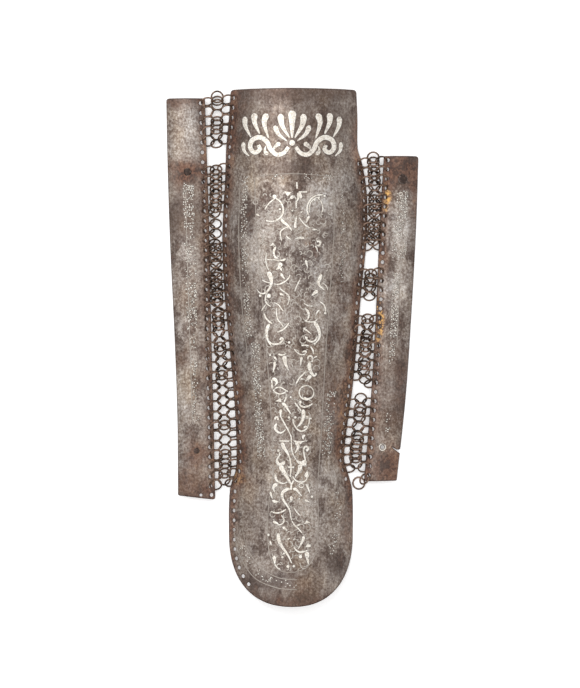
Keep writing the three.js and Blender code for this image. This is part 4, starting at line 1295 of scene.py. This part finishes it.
def plate_finish(look, name, seed, strip_mm):
    """Old steel: pale specks, partly painted glints, on dark patina, in blotches and streaks, with rust by the mailed
    edges.
    """
    finish = Finish(name, 0.8, 0.5)
    blotch = finish.noise(30, 4.0, 0.6, (1, 0.7, 1), seed)
    cloud = finish.noise(13, 3.0, 0.55, (1, 0.8, 1), seed + 3)
    stain = finish.noise(17, 6.0, 0.68, (1, 0.7, 1), seed + 21)
    grain = finish.noise(3.4, 3.0, 0.7, (1, 0.8, 1), seed + 5)
    fleck = finish.noise(1.7, 2.0, 0.7, (1, 0.85, 1), seed + 8)
    streak = finish.noise(2.4, 3.0, 0.65, (1, 0.05, 1), seed + 11)
    edge, hole, strip = (finish.measure(m) for m in ("edge_mm", "hole_mm", "strip_mm"))
    tone, rust, cool = (finish.measure(m) for m in ("tone", "rust", "cool"))

    rough = (blotch - 0.5) * 0.5 + (streak - 0.5) * 0.32 + (fleck - 0.5) * 0.95 + (grain - 0.5) * 0.25
    rough -= finish.between(stain + (fleck - 0.5) * 0.05, 0.545, 0.58) * 0.19
    rough += finish.between(stain, 0.46, 0.41) * 0.08
    rough += finish.between(grain, 0.45, 0.38) * 0.09 - finish.between(grain, 0.55, 0.61) * 0.1
    level = rough * (1.0 - (tone * -1.0).clamped() * 0.4) + tone * 0.17 + 0.53
    # The brightest stop turns the fleck noise's peaks into near-white specks: partly pale scuffs, partly painted
    # glints.
    stops = (
        (0.0, look.steel_pit),
        (0.34, look.steel_dark),
        (0.54, look.steel_mid),
        (0.74, look.steel_light),
        (1.0, look.steel_speck_glint),
    )
    colour = finish.ramp(level, stops)
    hue = (blotch - 0.5) * 3.2 + (stain - 0.5) * 2.4 + (fleck - 0.5) * 1.5
    bluish = (hue + cool * 0.8).clamped()
    colour = finish.mix(bluish, colour, opaque(look.cool_tint), "MULTIPLY")
    warm = (hue * -1.0 - cool * 0.8).clamped()
    colour = finish.mix(warm, colour, opaque(look.warm_tint), "MULTIPLY")

    ragged = strip + (blotch - 0.5) * 14.0 + (cloud - 0.5) * 12.0 + (grain - 0.5) * 5.0
    by_mail = finish.between(ragged, strip_mm + 4.5, strip_mm - 4.5)
    red = (by_mail * 0.9 + rust * (0.6 + cloud * 0.8) + finish.between(stain, 0.6, 0.7) * 0.4).clamped()
    rust_stops = ((0.3, look.rust_dark), (0.5, look.rust), (0.68, look.rust_bright), (0.8, look.rust_orange))
    rusted = (grain - 0.5) * 1.1 + (fleck - 0.5) * 0.9 + (cloud - 0.5) * 0.9 + tone * 0.05 + 0.5
    rusted = finish.ramp(rusted, rust_stops)
    # Painted highlight: where the tables' last column is set, grain specks turn the real rust yellow as a painted
    # glint.
    gilt = (finish.measure("gilt") * finish.between(grain * 0.6 + fleck * 0.4, 0.47, 0.55)).clamped()
    rusted = finish.mix(gilt, rusted, opaque(look.yellow_glint))
    colour = finish.mix(red * 0.85, colour, rusted)
    halo = finish.between(hole + (grain - 0.5) * 1.6, 1.3, 0.2)
    colour = finish.mix(halo * 0.5, colour, opaque(look.rust_dark))
    rim = finish.between(edge + (cloud - 0.5) * 1.2 + (grain - 0.5) * 0.8, 1.2, 0.4)
    colour = finish.mix(rim * 0.8, colour, opaque(look.rust_dark))

    finish.feed(
        Base_Color=colour,
        Roughness=0.42 + (grain - 0.5) * 0.5 + red * 0.16,
        Metallic=0.88 - red * 0.42,
    )
    finish.bump(cloud * 0.5 + grain * 0.35 + fleck * 0.15, 0.0006, 0.35)
    return finish.material


def ring_finish(look):
    """Iron wire, dark and rusty in noise patches, with pale patches painted as highlights."""
    finish = Finish("mail wire", 0.75, 0.4)
    cloud = finish.noise(7, 3.0, 0.6, seed=2)
    grain = finish.noise(1.1, 3.0, 0.65, seed=6)
    level = 0.5 + (cloud - 0.5) * 1.6 + (grain - 0.5) * 1.6
    # The palest stop paints highlights on the wire, in noise patches.
    colour = finish.ramp(level, ((0.2, look.wire_dark), (0.5, look.wire), (0.85, look.wire_highlight)))
    red = finish.between(cloud * 0.6 + grain * 0.4, 0.5, 0.6)
    colour = finish.mix(red * 0.65, colour, opaque(look.rust))
    finish.feed(Base_Color=colour, Roughness=0.34 + grain * 0.26, Metallic=0.7 - red * 0.4)
    finish.bump(grain, 0.0002, 0.4)
    return finish.material


def rivet_finish(look):
    """A dark head, with a painted highlight in grain patches round its shoulder and painted shade at its foot."""
    finish = Finish("rivet steel", 0.75, 0.45)
    grain = finish.noise(2.2, 3.0, 0.65, seed=12)
    colour = finish.ramp(grain, ((0.4, look.steel_pit), (0.65, look.rust_dark)))
    # Painted highlight: the shoulder that the rim mark picks out is paled in grain patches.
    rim_highlight = finish.measure("rim") * finish.between(grain, 0.46, 0.6) * 0.4
    colour = finish.mix(rim_highlight, colour, opaque(look.steel_light))
    # Painted shade: the head's foot, the shank and the tail, which the groove mark picks out, are darkened to the
    # pits' colour.
    colour = finish.mix(finish.measure("groove"), colour, opaque(look.steel_pit))
    finish.feed(Base_Color=colour, Roughness=0.4 + grain * 0.2, Metallic=0.8 - grain * 0.2)
    finish.bump(grain, 0.0002, 0.4)
    return finish.material


def silver_finish(look, name, seed, kept, fade=0.0):
    """Hammered silver inlay, worn through to dark steel in places, and faded towards the steel."""
    finish = Finish(name, 0.7, 0.42)
    grain = finish.noise(1.3, 3.0, 0.65, seed=seed)
    cloud = finish.noise(16, 3.0, 0.6, seed=seed + 4)
    worn = finish.between(grain * 0.55 + cloud * 0.45, kept, kept + 0.08)
    colour = finish.mix(finish.between(grain, 0.4, 0.58), opaque(look.silver_dull), opaque(look.silver))
    pits = finish.between(finish.noise(2.6, 3.0, 0.7, seed=seed + 9), 0.56, 0.63)
    colour = finish.mix(pits * 0.55, colour, opaque(look.steel_mid))
    colour = finish.mix(worn * (0.85 - fade) + fade, colour, opaque(look.steel_mid))
    groove = finish.between(finish.measure("groove") + (grain - 0.5) * 0.6, 0.25, 0.7) * (0.9 - fade * 0.6)
    colour = finish.mix(groove, colour, opaque(look.steel_pit))
    finish.feed(Base_Color=colour, Roughness=0.36 + grain * 0.25, Metallic=0.62 + worn * 0.2)
    finish.bump(grain, 0.0002, 0.3)
    return finish.material


def floor_finish(look):
    finish = Finish("pale floor", 0.0, 0.9)
    shade = finish.noise(400, 2.0, 0.5)
    colour = finish.mix(shade, opaque(look.floor), opaque(tuple(c * 0.995 for c in look.floor)))
    finish.feed(Base_Color=colour)
    finish.shader.inputs["Emission Color"].default_value = (1, 1, 1, 1)
    finish.shader.inputs["Emission Strength"].default_value = look.floor_glow
    return finish.material


def tint(name, text, colour):
    return FloatVectorProperty(name=name, description=text, subtype="COLOR", size=3, min=0, max=1, default=colour)


def setting(name, text, value, low, high, unit="NONE"):
    return FloatProperty(name=name, description=text, default=value, min=low, max=high, unit=unit)


class GreaveMailSizes(bpy.types.PropertyGroup):
    ring_diameter: setting("Ring diameter", "Outer diameter of a mail ring", 0.0108, 0.008, 0.0116, "LENGTH")
    wire_diameter: setting("Wire diameter", "Thickness of the ring wire", 0.00144, 0.0008, 0.0018, "LENGTH")
    hole_ring_lean: setting("Hole ring lean", "Lean of the rings in the plates' holes", 0.72, 0.5, 1.2, "ROTATION")
    link_ring_lean: setting("Link ring lean", "Lean of the linking rings the other way", 0.52, 0.2, 1.0, "ROTATION")


class GreavePlateLook(bpy.types.PropertyGroup):
    steel_pit: tint("Pits", "Darkest pits of the steel", (0.04, 0.028, 0.023))
    steel_dark: tint("Dark steel", "Patina", (0.145, 0.106, 0.088))
    steel_mid: tint("Middle steel", "Most of the plates", (0.285, 0.234, 0.2))
    steel_light: tint("Pale steel", "Scuffed places", (0.50, 0.44, 0.39))
    # Near-white specks: partly pale scuffs, partly painted glints.
    steel_speck_glint: tint("Bright steel", "Pale specks, partly painted glints", (0.86, 0.80, 0.73))
    cool_tint: tint("Cool tint", "Multiplies the steel in its blue-grey patches", (0.9, 0.94, 1.0))
    warm_tint: tint("Warm tint", "Multiplies the steel in its tawny patches", (1.0, 0.92, 0.8))
    rust: tint("Rust", "Reddish rust along the mailed edges", (0.2, 0.092, 0.056))
    rust_dark: tint("Dark rust", "Deep rust", (0.062, 0.032, 0.024))
    rust_bright: tint("Bright rust", "Rubbed rust", (0.27, 0.165, 0.115))
    rust_orange: tint("Orange rust", "Fresh rust in flecks", (0.40, 0.20, 0.095))
    # A painted highlight: the yellow glint laid over rust on the short plate's border and in a few places on the
    # shin.
    yellow_glint: tint("Yellow glint", "Painted yellow glint on the rust of the short plate's border", (0.86, 0.50, 0.15))
    wire_dark: tint("Dark wire", "Mail wire in its dark places", (0.03, 0.021, 0.017))
    wire: tint("Wire", "Most of the mail wire", (0.135, 0.08, 0.052))
    # Pale patches of the wire, painted as highlights.
    wire_highlight: tint("Pale wire", "Pale patches painted as highlights on the wire", (0.42, 0.335, 0.27))
    silver: tint("Silver", "Bright silver inlay", (0.97, 0.93, 0.86))
    silver_dull: tint("Dull silver", "Tarnished silver inlay", (0.70, 0.63, 0.54))
    floor: tint("Floor", "The pale floor", (0.93, 0.93, 0.93))
    floor_glow: setting("Floor glow", "Light of the table under the greave", 0.33, 0, 2)
    skin_spacing: setting("Skin spacing", "Step between a plate skin's points", 0.0024, 0.0015, 0.006, "LENGTH")
    silver_proud: setting("Silver proud", "Height of the inlay over the steel", 0.00007, 0.00002, 0.0003, "LENGTH")


class GreaveStageLook(bpy.types.PropertyGroup):
    camera_height: setting("Camera height", "Height of the camera over the floor", 2.8, 0.8, 4, "LENGTH")
    lens: setting("Lens", "Focal length of the camera", 179.6, 35, 300, "CAMERA")
    camera_x: setting("Camera X", "Where the camera stands over the floor", -0.0019, -0.1, 0.1, "LENGTH")
    camera_y: setting("Camera Y", "Where the camera stands over the floor", 0.0029, -0.1, 0.1, "LENGTH")
    sky: setting("Sky", "Strength of the soft light from all round", 1.0, 0, 4)
    lamp: setting("Lamp", "Power of the soft lamp overhead, in watts", 10.0, 0, 100)


class GREAVE_OT_stage(bpy.types.Operator):
    """Lay the pale floor, and set the soft studio light and the camera"""

    bl_idname = "greave.stage"
    bl_label = "Stage"

    def execute(self, context):
        look, plates = context.scene.greave_stage, context.scene.greave_plates
        mesh = bpy.data.meshes.new("studio floor")
        corners = [(x * FLOOR_REACH, y * FLOOR_REACH, 0) for x, y in ((-1, -1), (1, -1), (1, 1), (-1, 1))]
        mesh.from_pydata(corners, [], [(0, 1, 2, 3)])
        mesh.materials.append(floor_finish(plates))
        floor = bpy.data.objects.new("studio floor", mesh)
        context.scene.collection.objects.link(floor)

        camera = bpy.data.objects.new("camera", bpy.data.cameras.new("camera"))
        camera.location = (look.camera_x, look.camera_y, look.camera_height)
        camera.data.lens = look.lens
        context.scene.collection.objects.link(camera)
        context.scene.camera = camera

        lamp = bpy.data.objects.new("overhead lamp", bpy.data.lights.new("overhead lamp", "AREA"))
        lamp.data.shape = "DISK"
        lamp.data.size = LAMP_WIDTH
        lamp.data.energy = look.lamp
        lamp.location = LAMP_PLACE
        lamp.rotation_euler = (Vector((0, 0, 0)) - lamp.location).to_track_quat("-Z", "Y").to_euler()
        context.scene.collection.objects.link(lamp)

        world = bpy.data.worlds.new("studio")
        world.use_nodes = True
        tree = world.node_tree
        back = tree.nodes["Background"]
        back.inputs["Strength"].default_value = look.sky
        way = Field(tree, tree.nodes.new("ShaderNodeTexCoord").outputs["Generated"])
        parts = tree.nodes.new("ShaderNodeSeparateXYZ")
        tree.links.new(way.socket, parts.inputs[0])
        ramp = tree.nodes.new("ShaderNodeValToRGB")
        for element, (place, level) in zip(ramp.color_ramp.elements, SKY_LEVELS):
            element.position = place
            element.color = (level, level, level, 1)
        tree.links.new(parts.outputs["Z"], ramp.inputs["Fac"])
        tree.links.new(ramp.outputs["Color"], back.inputs["Color"])
        context.scene.world = world
        context.scene.view_settings.view_transform = "Standard"
        return {"FINISHED"}


class GREAVE_OT_shin_plate(bpy.types.Operator):
    """Make the shin plate, with its holes and its worn steel finish"""

    bl_idname = "greave.shin_plate"
    bl_label = "Shin plate"

    def execute(self, context):
        look = context.scene.greave_plates
        middles = [row[1] for row in LONG_ROWS + SHORT_ROWS] + tongue_holes()
        holes = [(*middle, HOLE_RADIUS) for middle in middles]

        def strip_of(x, y):
            away = abs(SHIN.edge(1 if x > 0 else -1, y) - x)
            along = SHIN.along(y)
            lost = max(0.0, along - 0.8) * 60 if x < 0 else max(0.0, along - 0.74, 0.13 - along) * 90
            return away * 1.25 + lost

        finish = plate_finish(look, "shin steel", 1.0, 8.5)
        outline, spacing = SHIN.outline(OUTLINE_STEP), look.skin_spacing / MM
        plate_piece("shin_plate_skin", "shin_plate", SHIN, outline, holes, strip_of, SHIN_TONES, finish, spacing)
        return {"FINISHED"}


class GREAVE_OT_side_plates(bpy.types.Operator):
    """Make the two side plates, with their holes, the crack and the lost rivet's hole"""

    bl_idname = "greave.side_plates"
    bl_label = "Side plates"

    def execute(self, context):
        look = context.scene.greave_plates
        foot = LONG.length - HOLE_INSET
        long_holes = [(*row[0], HOLE_RADIUS) for row in LONG_ROWS]
        long_holes += [(*LONG.place(0.9, foot), HOLE_RADIUS), (*LONG.place(0.62, foot), 1.15)]
        short_holes = [(*row[0], HOLE_RADIUS) for row in SHORT_ROWS] + [(*LOST_RIVET, 1.6)]
        long_steel = plate_finish(look, "long plate steel", 14.0, 6.2)
        short_steel = plate_finish(look, "short plate steel", 33.0, 5.6)
        for name, node, sheet, outline, holes, tones, finish in (
            ("long_plate", "long_side_plate", LONG, LONG.outline(OUTLINE_STEP), long_holes, LONG_TONES, long_steel),
            ("short_plate", "short_side_plate", SHORT, cracked(SHORT), short_holes, SHORT_TONES, short_steel),
        ):
            plate_piece(
                name + "_skin",
                node,
                sheet,
                outline,
                holes,
                lambda x, y, sheet=sheet: abs(sheet.edge(y) - x),
                tones,
                finish,
                look.skin_spacing / MM,
            )
        return {"FINISHED"}


class GREAVE_OT_mail(bpy.types.Operator):
    """Link the mail rings, row by row, through the holes of the plates"""

    bl_idname = "greave.mail"
    bl_label = "Mail"

    def execute(self, context):
        finish = ring_finish(context.scene.greave_plates)
        sizes = context.scene.greave_mail
        for sheet, rows, patches in ((LONG, LONG_ROWS, LONG_PATCHES), (SHORT, SHORT_ROWS, SHORT_PATCHES)):
            for name, first, last, ends in patches:
                lost = LOST_SHIN_RINGS.get(name, ())
                mail_piece(name, sheet, rows, first, last, ends, lost, finish, sizes)
        loose_rings(finish, sizes)
        return {"FINISHED"}


class GREAVE_OT_rivets(bpy.types.Operator):
    """Set the strap rivets in the side plates"""

    bl_idname = "greave.rivets"
    bl_label = "Rivets"

    def execute(self, context):
        finish = rivet_finish(context.scene.greave_plates)
        for name, sheet, place, head, dome in RIVETS:
            rivet_piece(name, sheet, sheet.place(*place), head, dome, finish)
        return {"FINISHED"}


class GREAVE_OT_silver_work(bpy.types.Operator):
    """Inlay the silver: the bold scrolls at the knee end, the long panel, fine bands and frame lines"""

    bl_idname = "greave.silver_work"
    bl_label = "Silver work"

    def execute(self, context):
        look = context.scene.greave_plates
        proud = look.silver_proud / MM
        bright = silver_finish(look, "bright silver", 4.0, 0.55)
        dull = silver_finish(look, "worn silver", 9.0, 0.54, 0.1)
        frame = silver_finish(look, "frame lines", 11.0, 0.5, 0.72)
        aside = [stroke for stroke in HEAD_STROKES if stroke[2][0][0] > 0]
        mirrored = [(kind, width, tuple((-x, y) for x, y in marks)) for kind, width, marks in aside]
        silver_piece("knee_scrolls", SHIN, [*HEAD_STROKES, *mirrored], bright, proud)
        silver_piece("panel_arabesque", SHIN, PANEL_STROKES, bright, proud)
        dice = random.Random(5)
        thin = silver_finish(look, "engraved lines", 7.0, 0.54, 0.5)
        silver_piece("panel_engraving", SHIN, engraved_curls(dice), thin, proud * 0.6)
        marks = (("ring", 0.5, ((88.4, 125.0), (1.4, 1.4))), ("ring", 0.8, (LOST_RIVET, (2.6, 2.6))))
        for label, sheet in (("shin", SHIN), ("long_plate", LONG), ("short_plate", SHORT)):
            strokes = list(marks) if sheet is SHORT else []
            for on, path, width, kept in FINE_BANDS:
                if on is sheet:
                    strokes += fine_band(path, width, kept, dice)
            silver_piece(label + "_fine_lines", sheet, strokes, dull, proud)
            lines = [("stem", width, path) for on, width, path in FRAME_LINES if on is sheet]
            silver_piece(label + "_frame_lines", sheet, lines, frame, proud * 0.5)
        return {"FINISHED"}


class GREAVE_PT_panel(bpy.types.Panel):
    bl_label = "Worn Steel Greave"
    bl_idname = "GREAVE_PT_panel"
    bl_space_type = "VIEW_3D"
    bl_region_type = "UI"
    bl_category = "Greave"

    def draw(self, context):
        for operator in OPERATORS:
            self.layout.operator(operator.bl_idname)
        for group in (context.scene.greave_mail, context.scene.greave_plates, context.scene.greave_stage):
            box = self.layout.box()
            for name in group.__annotations__:
                box.prop(group, name)


OPERATORS = (
    GREAVE_OT_stage,
    GREAVE_OT_shin_plate,
    GREAVE_OT_side_plates,
    GREAVE_OT_mail,
    GREAVE_OT_rivets,
    GREAVE_OT_silver_work,
)
CLASSES = (GreaveMailSizes, GreavePlateLook, GreaveStageLook, *OPERATORS, GREAVE_PT_panel)


def register():
    for cls in CLASSES:
        bpy.utils.register_class(cls)
    bpy.types.Scene.greave_mail = PointerProperty(type=GreaveMailSizes)
    bpy.types.Scene.greave_plates = PointerProperty(type=GreavePlateLook)
    bpy.types.Scene.greave_stage = PointerProperty(type=GreaveStageLook)


def unregister():
    del bpy.types.Scene.greave_stage
    del bpy.types.Scene.greave_plates
    del bpy.types.Scene.greave_mail
    for cls in reversed(CLASSES):
        bpy.utils.unregister_class(cls)


def main():
    register()
    bpy.ops.greave.stage()
    bpy.ops.greave.shin_plate()
    bpy.ops.greave.side_plates()
    bpy.ops.greave.mail()
    bpy.ops.greave.rivets()
    bpy.ops.greave.silver_work()


if __name__ == "__main__":
    main()
